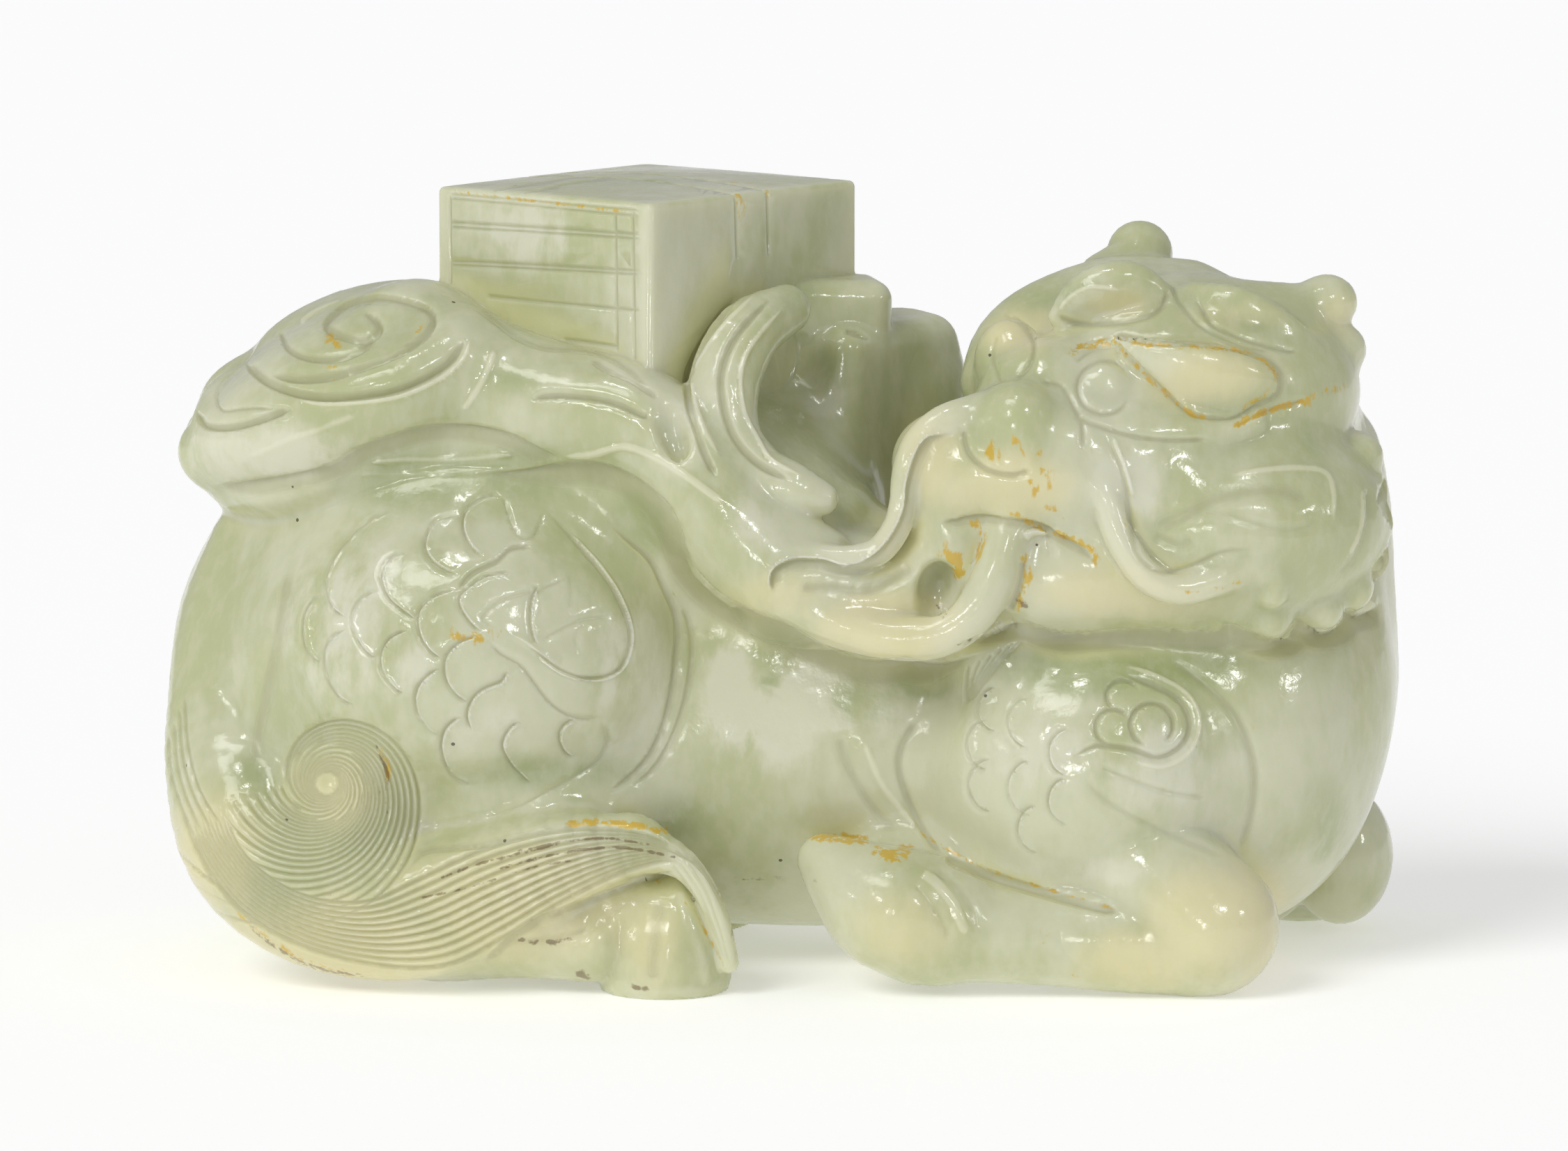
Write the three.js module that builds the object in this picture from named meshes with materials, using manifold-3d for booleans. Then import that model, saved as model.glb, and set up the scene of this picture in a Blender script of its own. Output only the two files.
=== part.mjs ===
// A recumbent qilin carved from one pebble of pale celadon jade, about 12 cm long. It looks back over its
// shoulder, and the vapour from its mouth flows along its back as a ruyi cloud that bears a case of books.
// Millimetres, +Z up, -Y towards the side with the face, +X towards the chest. Origin: middle of the underside.
import * as THREE from "three";
import Module from "manifold-3d";
import { mergeVertices } from "three/addons/utils/BufferGeometryUtils.js";

// Driving sizes of the whole carving.
const LENGTH = 120;
const DEPTH = 57;
const HEIGHT = 76;

// Finish of the tessellation: the sampling step of the form, and the number of triangles it is reduced to.
const STEP = 0.75;
const TRIANGLES = 9300;

// The case of books on the cloud: length, width and height, turn in degrees and centre.
const BOOKS = [30.8, 27.2, 26.8];
const BOOKS_TURN = 50;
const BOOKS_CENTRE = [-13, 4.5, 61.6];

// Blend radii: how softly one form runs into the next, as a carver leaves it.
const SOFT = 7;
const FIRM = 2.5;
const CRISP = 0.9;

// The forms are distances: each is negative inside the form, and they are joined and cut in order.

// An ellipsoid: centre, three radii, and a turn in degrees about X, Y and Z.
function blob(centre, radii, turn = [0, 0, 0]) {
  const toLocal = new THREE.Matrix4()
    .makeRotationFromEuler(new THREE.Euler(...turn.map(THREE.MathUtils.degToRad)))
    .invert().elements;
  const reach = Math.max(...radii);
  const [rx, ry, rz] = radii;
  return {
    low: centre.map((c) => c - reach),
    high: centre.map((c) => c + reach),
    distance(x, y, z) {
      const dx = x - centre[0];
      const dy = y - centre[1];
      const dz = z - centre[2];
      const u = (toLocal[0] * dx + toLocal[4] * dy + toLocal[8] * dz) / rx;
      const v = (toLocal[1] * dx + toLocal[5] * dy + toLocal[9] * dz) / ry;
      const w = (toLocal[2] * dx + toLocal[6] * dy + toLocal[10] * dz) / rz;
      const near = Math.sqrt(u * u + v * v + w * w);
      const slope = Math.sqrt((u / rx) ** 2 + (v / ry) ** 2 + (w / rz) ** 2);
      return slope < 1e-6 ? -Math.min(rx, ry, rz) : (near * (near - 1)) / slope;
    },
  };
}

// A box with rounded edges: centre, half sizes, edge radius, and a turn in degrees.
function slab(centre, half, edge, turn = [0, 0, 0]) {
  const toLocal = new THREE.Matrix4()
    .makeRotationFromEuler(new THREE.Euler(...turn.map(THREE.MathUtils.degToRad)))
    .invert().elements;
  const reach = Math.hypot(...half);
  return {
    low: centre.map((c) => c - reach),
    high: centre.map((c) => c + reach),
    distance(x, y, z) {
      const dx = x - centre[0];
      const dy = y - centre[1];
      const dz = z - centre[2];
      const u = Math.abs(toLocal[0] * dx + toLocal[4] * dy + toLocal[8] * dz) - half[0] + edge;
      const v = Math.abs(toLocal[1] * dx + toLocal[5] * dy + toLocal[9] * dz) - half[1] + edge;
      const w = Math.abs(toLocal[2] * dx + toLocal[6] * dy + toLocal[10] * dz) - half[2] + edge;
      const outside = Math.hypot(Math.max(u, 0), Math.max(v, 0), Math.max(w, 0));
      return outside + Math.min(Math.max(u, v, w), 0) - edge;
    },
  };
}

// Points and radii [x, y, z, r] put on one smooth Catmull-Rom line.
function smoothLine(points, steps) {
  const line = [];
  for (let i = 0; i < points.length - 1; i++) {
    const [a, b, c, d] = [i - 1, i, i + 1, i + 2].map(
      (k) => points[Math.min(Math.max(k, 0), points.length - 1)]);
    for (let s = 0; s < steps; s++) {
      const t = s / steps;
      line.push(b.map((_, k) => 0.5 * (2 * b[k] + (c[k] - a[k]) * t
        + (2 * a[k] - 5 * b[k] + 4 * c[k] - d[k]) * t * t
        + (3 * b[k] - a[k] - 3 * c[k] + d[k]) * t * t * t)));
    }
  }
  line.push(points[points.length - 1]);
  return line;
}

// A round limb along a smooth line of [x, y, z, r]. With flat = [nx, ny, nz, share], its section is
// squeezed along that direction to that share of its radius.
function limb(points, flat = null, steps = 4) {
  const line = smoothLine(points, steps);
  const reach = Math.max(...line.map((p) => p[3]));
  const squeeze = flat ? 1 / flat[3] - 1 : 0;
  const [nx, ny, nz] = flat ? new THREE.Vector3(...flat).normalize().toArray() : [0, 0, 0];
  return {
    low: [0, 1, 2].map((k) => Math.min(...line.map((p) => p[k])) - reach),
    high: [0, 1, 2].map((k) => Math.max(...line.map((p) => p[k])) + reach),
    distance(x, y, z) {
      let best = 1e9;
      for (let i = 0; i < line.length - 1; i++) {
        const a = line[i];
        const b = line[i + 1];
        const ex = b[0] - a[0];
        const ey = b[1] - a[1];
        const ez = b[2] - a[2];
        let px = x - a[0];
        let py = y - a[1];
        let pz = z - a[2];
        const t = Math.min(Math.max((px * ex + py * ey + pz * ez) / (ex * ex + ey * ey + ez * ez), 0), 1);
        px -= ex * t;
        py -= ey * t;
        pz -= ez * t;
        const off = (px * nx + py * ny + pz * nz) * squeeze;
        px += nx * off;
        py += ny * off;
        pz += nz * off;
        const d = Math.sqrt(px * px + py * py + pz * pz) - (a[3] + (b[3] - a[3]) * t);
        best = Math.min(best, d);
      }
      return best;
    },
  };
}

// Points are measured on the front drawing of the carving: u to the right and v down, in units of 0.0675 mm,
// drawn from 900 mm away and 8 degrees above. seen(u, v, y) is the point in millimetres at depth y.
const UNIT = 0.0675;
const FAR = 900;
const CENTRE = [1125.5, 826];
const RISE = Math.cos(THREE.MathUtils.degToRad(8));
const DIP = Math.sin(THREE.MathUtils.degToRad(8));
const EYE = [0.2, -FAR * RISE, 37.3 + FAR * DIP];

function seen(u, v, y) {
  const across = (u - CENTRE[0]) * UNIT;
  const up = (CENTRE[1] - v) * UNIT;
  const t = (y - EYE[1]) / (FAR * RISE + DIP * up);
  return [EYE[0] + t * across, y, EYE[2] + t * (RISE * up - FAR * DIP)];
}

// The inverse: where a point in millimetres is on the front drawing.
function drawn(x, y, z) {
  const [dx, dy, dz] = [x - EYE[0], y - EYE[1], z - EYE[2]];
  const scale = FAR / (dy * RISE - dz * DIP) / UNIT;
  return [CENTRE[0] + dx * scale, CENTRE[1] - (dy * DIP + dz * RISE) * scale];
}

// A limb whose points [u, v, y, r] are on the front drawing, with depth y and radius r in millimetres.
function stroke(points, flat = null) {
  return limb(points.map(([u, v, y, r]) => [...seen(u, v, y), r]), flat);
}

const add = (form, blend) => ({ ...form, blend, cut: false });
const cut = (form, blend) => ({ ...form, blend, cut: true });

// The same forms on the far side of the animal, moved by shift.
function farSide(forms, shift = [0, 0, 0]) {
  return forms.map((f) => ({
    ...f,
    low: [f.low[0] + shift[0], -f.high[1] + shift[1], f.low[2] + shift[2]],
    high: [f.high[0] + shift[0], -f.low[1] + shift[1], f.high[2] + shift[2]],
    distance: (x, y, z) => f.distance(x - shift[0], shift[1] - y, z - shift[2]),
  }));
}

function trunk() {
  return [
    add(limb([[-36, 2, 27, 20], [-12, 3, 22.6, 19.3], [14, 3, 21.6, 18.9], [36, 2, 24, 19]]), SOFT),
    add(blob([-40, 2, 27], [18.5, 19, 21]), SOFT),
    add(blob(seen(1745, 1050, -1), [16, 18, 19]), SOFT),
  ];
}

function haunch() {
  return [
    add(blob(seen(668, 925, -8), [21.3, 18, 17]), FIRM),
    add(blob(seen(745, 1125, -9), [17, 12, 8.5]), FIRM),
  ];
}

function shoulder() {
  return [
    add(blob(seen(1560, 1085, -8), [17.5, 17.5, 15.5]), FIRM),
  ];
}

// The near hind leg, its pastern and its bell-shaped hoof.
function hindLeg() {
  return [
    add(stroke([[640, 1320, -14, 6], [740, 1335, -18, 4.6], [850, 1355, -20, 3.6]]), CRISP),
    add(stroke([[820, 1330, -17.5, 3.6], [870, 1316, -18, 4.2], [925, 1302, -17.6, 4.6]]), CRISP),
    add(stroke([[972, 1268, -20.5, 1], [965, 1310, -19.5, 3.6], [957, 1350, -18.6, 5.6],
      [954, 1384, -18, 6.5]]), CRISP),
  ];
}

// The folded near foreleg: upper arm, shank, fetlock and hoof, and the knee.
function foreLeg() {
  return [
    add(stroke([[1300, 1270, -14, 6], [1450, 1280, -14, 7], [1620, 1290, -14, 8]]), FIRM),
    add(stroke([[1330, 1325, -20, 6], [1400, 1338, -21, 4.8], [1500, 1345, -21, 4.6], [1600, 1350, -21, 4.9],
      [1700, 1345, -20.5, 5.6]]), CRISP),
    add(stroke([[1345, 1320, -20.5, 6], [1280, 1305, -21, 6], [1225, 1268, -20, 4.3], [1182, 1234, -18.5, 2.5]]),
      CRISP),
    add(stroke([[1570, 1185, -15.5, 5.6], [1648, 1248, -18.4, 6.6], [1734, 1328, -20.4, 6.8]]), CRISP),
  ];
}

// The knee of the far foreleg, under the chest.
function farKnee() {
  return add(blob(seen(1924, 1226, 14), [5.2, 6.5, 6.9]), CRISP);
}

// The tail down the rump, its swirl and lock, and the hollow beside the swirl.
function tail() {
  return [
    add(stroke([[352, 780, -2, 3], [326, 890, -4, 4.2], [318, 1005, -7, 5.1], [330, 1105, -10, 6.2],
      [374, 1210, -13.5, 7.5], [460, 1280, -16.5, 7.3], [585, 1302, -19, 7.0], [690, 1280, -20.5, 6.3],
      [810, 1232, -21.8, 4.5], [915, 1212, -22.5, 2.7]]), FIRM),
    add(stroke([[905, 1210, -22.4, 2.7], [980, 1240, -22.8, 1.5], [1026, 1305, -22.6, 1.1], [1046, 1382, -22, 1.0]]),
      CRISP),
    add(blob(seen(508, 1152, -16.8), [6.8, 7.2, 7.8]), FIRM),
    cut(stroke([[378, 1010, -21, 2.0], [380, 1075, -23, 3.4], [392, 1130, -25.5, 3.6], [420, 1160, -27, 2.4]]),
      FIRM),
  ];
}

function neck() {
  return [
    add(limb([[43.5, 4, 30, 15], [45, 6, 42, 14], [44.5, 4, 50, 12]]), SOFT),
    add(stroke([[1942, 640, 6, 2], [1952, 760, 5, 2.4], [1957, 900, 4, 2.4], [1951, 1040, 5, 2.4],
      [1908, 1160, 6, 2]]), FIRM),
    add(blob(seen(1440, 945, -15.5), [6, 5, 4.5], [0, 25, 0]), FIRM),
  ];
}

// The locks of the mane on the far side of the neck.
function mane() {
  return [
    add(limb([[50, 13, 57, 1], [53, 15, 49, 2.6], [52, 17, 41, 2.4], [47, 18, 35, 1]]), FIRM),
    add(limb([[44, 14, 59, 1], [46, 17.5, 51, 2.6], [44, 19.5, 42, 2.4], [39, 20, 36, 1]]), FIRM),
    add(limb([[38, 13.5, 58, 1], [38, 17, 51, 2.4], [36, 18.5, 44, 2.2], [32, 19, 39, 1]]), FIRM),
  ];
}

// The ruyi head of the cloud over the rump, its two tiers, and the small tier under it.
function ruyi() {
  return [
    add(blob(seen(487, 566, 0.5), [15.4, 14.5, 7.0], [20, -30, 0]), FIRM),
    add(stroke([[302, 648, -5, 3.0], [370, 628, -10, 4.0], [470, 600, -13, 4.4], [570, 560, -13, 4.8],
      [650, 520, -11, 4.5]]), FIRM),
    add(stroke([[335, 704, -5, 1.6], [385, 692, -10, 2.2], [450, 676, -13, 1.8]]), CRISP),
    add(blob(seen(340, 588, -6), [4.4, 6.5, 2.8], [24, -25, 0]), CRISP),
    add(blob(seen(518, 506, -4), [11, 10, 4.2], [24, -14, 0]), CRISP),
  ];
}

// The band of cloud along the flank, the C-shaped curl beside the books and the pocket behind it.
function band() {
  return [
    add(stroke([[600, 500, -6, 6.5], [700, 545, -10, 5.4], [800, 575, -13, 4.9], [900, 592, -15, 4.6],
      [965, 640, -16.5, 4.6], [1035, 735, -18.5, 4.8], [1105, 812, -19.5, 4.8], [1180, 850, -20, 4.2],
      [1260, 870, -20, 3.4]]), FIRM),
    add(limb([[-40, -4, 50, 9], [-20, -6, 50, 9], [-4, -8, 44, 9], [8, -10, 38, 7]]), SOFT),
    add(stroke([[1128, 444, -7, 2.4], [1072, 480, -11, 3.2], [1040, 550, -14, 3.4], [1044, 625, -16, 3.2],
      [1085, 678, -17.5, 2.9], [1135, 702, -18.5, 2.6], [1180, 716, -18.8, 1.6]]), CRISP),
    add(stroke([[1050, 700, -17, 2.4], [1120, 765, -19, 3], [1185, 795, -19.5, 2.4]]), CRISP),
    add(stroke([[850, 625, -14.5, 3], [905, 632, -16.2, 3], [955, 664, -17.4, 3], [990, 706, -18.2, 3],
      [1012, 752, -18.6, 3], [1036, 798, -19, 3], [1078, 832, -19.6, 3], [1130, 852, -20.2, 3],
      [1190, 884, -20.8, 2.7], [1250, 905, -21.2, 2.5]]), CRISP),
    cut(stroke([[950, 515, -22, 3], [960, 575, -21.4, 2.4], [970, 630, -20.6, 1.5], [979, 664, -20.6, 0.5]]),
      CRISP),
  ];
}

// The cloud that stands behind the notch, with the tier on which the books rest.
function backCloud() {
  return [
    add(slab([5.3, 9.7, 47.5], [9, 9, 14], 2.5, [0, 0, 50]), CRISP),
    add(blob([-14, 6, 49], [20, 17, 9]), SOFT),
    add(limb([[-38, 10, 52, 8], [-22, 14, 51, 7], [-6, 17, 49, 7], [8, 17, 45, 6.5], [16, 15, 40, 5]]), FIRM),
    add(blob(seen(1305, 590, 14), [6.2, 9, 9.5]), FIRM),
    add(slab(seen(1194, 444, 5), [5.4, 4.5, 3.2], 2.0, [0, 2, 10]), CRISP),
  ];
}

// The sheet of vapour from the mouth, its upper and lower rims, and the hollow behind the lower lip.
function vapour() {
  return [
    add(limb([[17, -15, 46, 5], [13, -15.6, 39, 5.5], [4, -16.2, 38, 5.5], [0, -16.5, 38, 5]]), CRISP),
    add(stroke([[1350, 660, -16.8, 4.2], [1362, 735, -17.9, 4.4], [1360, 790, -18.2, 4.4],
      [1310, 845, -18.2, 4]]), FIRM),
    add(stroke([[1400, 588, -19.5, 1.3], [1352, 602, -20.6, 1.3], [1316, 636, -21, 1.35], [1301, 680, -21.3, 1.35],
      [1297, 722, -21.6, 1.35], [1287, 757, -21.9, 1.35], [1262, 790, -22.2, 1.35], [1222, 802, -22.4, 1.3],
      [1176, 800, -22.4, 1.25], [1130, 800, -22.2, 1.25], [1098, 815, -22.0, 1.3], [1090, 842, -21.8, 1.5],
      [1100, 866, -21.6, 1.5], [1120, 872, -21.4, 1.1]]), CRISP),
    add(stroke([[1446, 757, -21.5, 1.8], [1432, 812, -22.8, 2.0], [1402, 872, -23.3, 2.2], [1345, 912, -23.5, 2.2],
      [1270, 914, -23.3, 2.1], [1200, 895, -22.6, 2.1], [1140, 872, -22, 1.9]]), CRISP),
    cut(blob(seen(1347, 848, -22.2), [2.0, 2.6, 2.8]), CRISP),
  ];
}

// Skull and cheek, forehead, upper jaw, and the lower jaw with the beard.
function head() {
  return [
    add(blob(seen(1690, 560, -4), [17.6, 14, 11.4]), FIRM),
    add(blob(seen(1745, 745, -8.5), [16.5, 14.5, 11.4]), FIRM),
    add(stroke([[1436, 548, -8, 3.8], [1456, 500, -5, 4.0], [1508, 462, -3, 4.2], [1600, 428, -1, 4.0],
      [1700, 430, 1, 3.8]]), FIRM),
    add(stroke([[1640, 680, -12, 10], [1520, 670, -15, 8.4], [1430, 668, -16.8, 6.6],
      [1365, 674, -17.6, 4.8]]), FIRM),
    add(blob(seen(1500, 560, -14), [6, 5, 5]), FIRM),
    add(stroke([[1740, 800, -12, 8.6], [1620, 818, -14.5, 7.2], [1545, 826, -17.5, 5.6], [1492, 834, -18.2, 4.8]]),
      FIRM),
  ];
}

// Nose, nostril, far eye, near eye, the two brows, the ear and the cheekbone.
function face() {
  return [
    add(blob(seen(1461, 606, -20), [3.9, 3.4, 3.9]), 1.6),
    add(blob(seen(1526, 628, -20), [2.8, 2.6, 2.4]), 1.4),
    add(blob(seen(1450, 518, -11.5), [3.4, 3, 4.0]), CRISP),
    add(blob(seen(1584, 555, -16.4), [2.6, 2.2, 2.6]), CRISP),
    add(stroke([[1520, 454, -11.6, 1.0], [1562, 424, -11.6, 2.4], [1612, 414, -10.9, 3.0], [1650, 430, -10.6, 2.4]],
      [0, 1, 0.6, 0.7]), 1.4),
    add(stroke([[1722, 430, -9.5, 1.8], [1770, 448, -10.8, 2.8], [1826, 476, -10.8, 2.5], [1868, 502, -10, 1.0]],
      [0, 1, 0.6, 0.7]), 1.4),
    add(stroke([[1604, 492, -16.2, 0.6], [1650, 513, -17.1, 1.9], [1705, 535, -17.2, 3.1], [1762, 552, -16.5, 3.4],
      [1798, 552, -15.4, 2.8]], [0, 1, 0.3, 0.6]), CRISP),
    add(stroke([[1540, 585, -17, 0.8], [1595, 605, -18.2, 1.5], [1660, 617, -18.5, 1.8], [1740, 620, -18, 1.4],
      [1800, 606, -17, 0.7]]), 1.4),
  ];
}

function horns() {
  return [
    add(stroke([[1590, 405, 2, 3], [1628, 384, 3.5, 3.2], [1636, 364, 4.5, 3.2]]), CRISP),
    add(stroke([[1770, 470, -7, 3], [1830, 452, -5.5, 2.7], [1890, 436, -4, 2.0]]), FIRM),
    add(blob(seen(1905, 434, -4), [2.9, 2.6, 2.7]), CRISP),
    add(stroke([[1890, 470, -4, 2.4], [1924, 502, -4, 2.5]]), CRISP),
  ];
}

function whisker() {
  return [
    add(stroke([[1562, 668, -20.5, 0.9], [1588, 716, -22.3, 1.3], [1606, 770, -23, 1.45],
      [1645, 826, -23.2, 1.5], [1692, 846, -22.8, 1.5], [1742, 834, -22, 1.5],
      [1792, 816, -21, 1.5], [1824, 828, -20.3, 1.5], [1826, 852, -20, 1.4]]), CRISP),
  ];
}

// The curled hair along the edge of the jaw and up the cheek: one lobe each, [u, v, y, radius].
function frill() {
  return [
    [1640, 868, -16.6, 2.6], [1700, 872, -16.6, 2.6], [1760, 870, -16.4, 2.6], [1817, 882, -16.2, 2.6],
    [1894, 872, -14, 2.3], [1936, 842, -11.5, 2.4], [1958, 800, -9.5, 2.4], [1966, 752, -8.5, 2.2],
    [1958, 700, -7.5, 2.2], [1950, 655, -7.5, 2.4],
  ].map(([u, v, y, r]) => add(blob(seen(u, v, y), [r, r * 1.2, r]), CRISP));
}

// Carving in the surface: lines on the front drawing, of a half width in mm, that sink or rise by an amount
// where the surface is nearer than front. Those with a wall are edges: only the stone to the right of the way the
// line runs is lower, beside a wall of that width. Those marked both are on the far side too.
const incised = [
  // The outline of the haunch, and the curl on it.
  { at: [[864, 1146], [893, 1120], [923, 1091], [945, 1050], [960, 994], [967, 939], [967, 887], [949, 843],
    [930, 806], [897, 776], [868, 747]], half: 1.4, rise: -0.7, front: -8, wall: 0.7, both: true },
  { at: [[753, 917], [775, 937], [805, 959], [834, 970], [864, 970], [890, 956], [902, 924], [900, 895],
    [882, 852], [856, 815], [827, 782], [805, 756], [784, 732]], half: 1.2, rise: -0.7, front: -12, wall: 0.7,
    both: true },
  // The outlines of the shoulder.
  { at: [[1204, 1055], [1217, 1100], [1248, 1154], [1288, 1198]], half: 0.9, rise: -0.42, front: -8 },
  { at: [[1320, 1029], [1297, 1064], [1290, 1100], [1302, 1145], [1329, 1198], [1355, 1229]], half: 0.8,
    rise: -0.42, front: -8 },
  { at: [[1672, 944], [1726, 979], [1775, 1029], [1800, 1100], [1797, 1162], [1775, 1234]], half: 0.9,
    rise: -0.48, front: -8, both: true },
  // The fetlock of the near foreleg.
  { at: [[1323, 1252], [1345, 1268], [1370, 1300], [1387, 1344]], half: 0.8, rise: 0.48, front: -14 },
  { at: [[958, 1300], [948, 1350], [940, 1424]], half: 1.4, rise: -0.4, front: -14 },
  // The upper and the lower edge of the lock of the tail, the edge of the stem, and the hind hoof.
  { at: [[1051, 1339], [1028, 1283], [1006, 1249], [972, 1227], [893, 1204], [826, 1190], [759, 1202],
    [697, 1216], [647, 1221], [607, 1227], [579, 1261]], half: 1.6, rise: -0.7, front: -12, wall: 0.7 },
  { at: [[691, 1384], [725, 1350], [776, 1317], [815, 1300], [882, 1277], [927, 1261], [969, 1249]], half: 1.6,
    rise: -0.7, front: -14, wall: 0.7 },
  { at: [[362, 1110], [366, 1050], [376, 1000], [388, 940], [400, 880], [410, 800]], half: 3, rise: -0.5,
    front: -6, wall: 0.7 },
  // The eye and the spiral of the ruyi head, its upper tier, its small lobe and the tiers below.
  { at: [[519, 447], [542, 457], [549, 476], [530, 492], [501, 490], [472, 479], [464, 463], [482, 444],
    [504, 431], [542, 423], [581, 428], [616, 441], [626, 460], [613, 485], [574, 511], [517, 533], [469, 547],
    [421, 549], [386, 539]], half: 1.1, rise: -1, front: -3, both: true },
  { at: [[670, 482], [657, 514], [629, 539], [581, 562], [533, 572], [469, 576], [421, 569], [383, 554],
    [358, 534], [351, 520]], half: 2.6, rise: -1.2, front: -3, wall: 0.7, both: true },
  { at: [[421, 587], [396, 600], [374, 608], [342, 617], [313, 619], [294, 615], [283, 605], [281, 587]],
    half: 2.2, rise: -1.1, front: -3, wall: 0.7, both: true },
  { at: [[351, 528], [326, 544], [314, 562], [314, 579], [322, 588], [342, 586], [367, 584], [405, 587]],
    half: 1, rise: -0.7, front: -3, both: true },
  { at: [[300, 697], [358, 690], [420, 680], [472, 667], [511, 645], [549, 629], [613, 611], [676, 610],
    [730, 622], [776, 645], [806, 657]], half: 3.2, rise: -0.8, front: -6, wall: 0.7 },
  // The lower edge of the cloud, its leaves and the crease under the books.
  { at: [[680, 679], [752, 673], [823, 663], [871, 668], [919, 691], [957, 724], [977, 763], [993, 810],
    [1034, 854], [1087, 880], [1134, 899], [1182, 928], [1244, 949], [1302, 946], [1350, 953], [1430, 930]],
    half: 4, rise: -0.8, front: -8, wall: 0.7 },
  { at: [[933, 601], [919, 599], [886, 584], [847, 575], [800, 572], [761, 575]], half: 1.7, rise: -0.9,
    front: -6, wall: 0.7 },
  { at: [[942, 572], [929, 564], [905, 548], [871, 534], [845, 517]], half: 1, rise: -0.8, front: -6,
    wall: 0.7 },
  // The grooves of the C-shaped curl.
  { at: [[1058, 423], [1015, 485], [989, 538], [991, 590], [1010, 648], [1029, 686]], half: 0.8, rise: -0.48,
    front: -3 },
  { at: [[1110, 425], [1058, 480], [1036, 533], [1039, 586], [1058, 633], [1091, 667], [1139, 691]], half: 0.8,
    rise: -0.6, front: -3 },
  { at: [[1278, 494], [1244, 486], [1211, 477]], half: 1.5, rise: -0.5, front: 4, wall: 0.7 },
  // The edges of the vapour, and the rim of the lower lip.
  { at: [[1371, 622], [1333, 627], [1314, 651], [1301, 693], [1297, 731], [1278, 770], [1249, 800], [1215, 811],
    [1176, 802], [1138, 802], [1111, 816], [1105, 837], [1113, 854]], half: 0.8, rise: 0.4, front: -14 },
  { at: [[1113, 856], [1105, 837], [1111, 816], [1138, 802], [1176, 802], [1215, 811], [1249, 800], [1278, 770],
    [1297, 731], [1301, 693], [1314, 651], [1333, 627], [1371, 622]], half: 2.4, rise: -0.6, front: -14,
    wall: 0.7 },
  // The mouth, the lip, and the scalloped edge of the jaw.
  { at: [[1349, 749], [1371, 745], [1394, 740], [1417, 739], [1448, 743], [1479, 747], [1502, 755], [1528, 770],
    [1555, 785], [1574, 808]], half: 1.8, rise: -0.8, front: -14, wall: 0.7 },
  { at: [[1475, 804], [1473, 823], [1465, 854], [1452, 881]], half: 1.6, rise: -0.45, front: -14, wall: 0.7 },
  { at: [[1376, 925], [1458, 895], [1502, 904], [1536, 911], [1593, 906], [1654, 904], [1706, 906], [1740, 908],
    [1766, 897], [1784, 904], [1805, 912], [1827, 919], [1849, 917], [1857, 906], [1862, 891], [1875, 899],
    [1896, 906], [1918, 902], [1929, 889], [1933, 876], [1953, 880], [1975, 873], [1979, 860], [1975, 839],
    [1972, 817], [1988, 795], [2001, 774]], half: 3, rise: -1, front: -3, wall: 0.7 },
  { at: [[2001, 773], [1998, 751], [1983, 729], [1979, 716], [1990, 682], [1992, 647], [1979, 621]], half: 2,
    rise: -0.6, front: 2, wall: 0.7 },
  // The nostril, the eyes, the forehead, the ear and the lines of the cheek.
  { at: [[1383, 612], [1389, 647], [1415, 673], [1454, 682], [1480, 673]], half: 0.8, rise: -0.48, front: -14 },
  { at: [[1623, 569], [1606, 589], [1579, 593], [1556, 580], [1547, 556], [1556, 532], [1579, 519], [1606, 523],
    [1623, 543]], half: 0.8, rise: -0.42, front: -10 },
  { at: [[1517, 450], [1545, 465], [1610, 463], [1662, 447], [1680, 413]], half: 0.8, rise: -0.48, front: -6 },
  { at: [[1719, 430], [1740, 465], [1784, 486], [1827, 499], [1866, 506]], half: 0.8, rise: -0.42, front: -6 },
  { at: [[1597, 485], [1632, 521], [1671, 557], [1706, 587], [1732, 596], [1771, 596], [1805, 578], [1831, 565],
    [1835, 539], [1823, 525], [1797, 510], [1762, 501], [1719, 496], [1654, 494], [1597, 484]], half: 1.2,
    rise: -0.7, front: -10, wall: 0.7 },
  { at: [[1584, 621], [1606, 664], [1619, 712], [1625, 760], [1636, 800], [1667, 821], [1710, 812], [1758, 792],
    [1810, 789]], half: 0.8, rise: -0.4, front: -14 },
  { at: [[1645, 760], [1697, 742], [1749, 716], [1805, 703], [1849, 706], [1879, 723]], half: 1.5, rise: -0.4,
    front: -8 },
  { at: [[1962, 699], [1964, 734], [1957, 768], [1944, 803], [1918, 829]], half: 0.9, rise: -0.4, front: -3 },
].map((line) => ({
  ...line,
  reach: line.half / UNIT,
  box: [0, 1].map((k) => [Math.min(...line.at.map((p) => p[k])) - line.half / UNIT,
    Math.max(...line.at.map((p) => p[k])) + line.half / UNIT]),
  path: smoothLine(line.at, 4),
}));

// Distance in drawing units from a point to a line, above zero on its right and below zero on its left.
function nearness(path, u, v, limit) {
  let near = limit;
  let side = 1;
  for (let i = 0; i < path.length - 1; i++) {
    const [a, b] = [path[i], path[i + 1]];
    const [ex, ey] = [b[0] - a[0], b[1] - a[1]];
    const [pu, pv] = [u - a[0], v - a[1]];
    const t = Math.min(Math.max((pu * ex + pv * ey) / (ex * ex + ey * ey), 0), 1);
    const gap = Math.hypot(pu - ex * t, pv - ey * t);
    if (gap < near) [near, side] = [gap, Math.sign(ex * pv - ey * pu) || 1];
  }
  return near * side;
}

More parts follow.
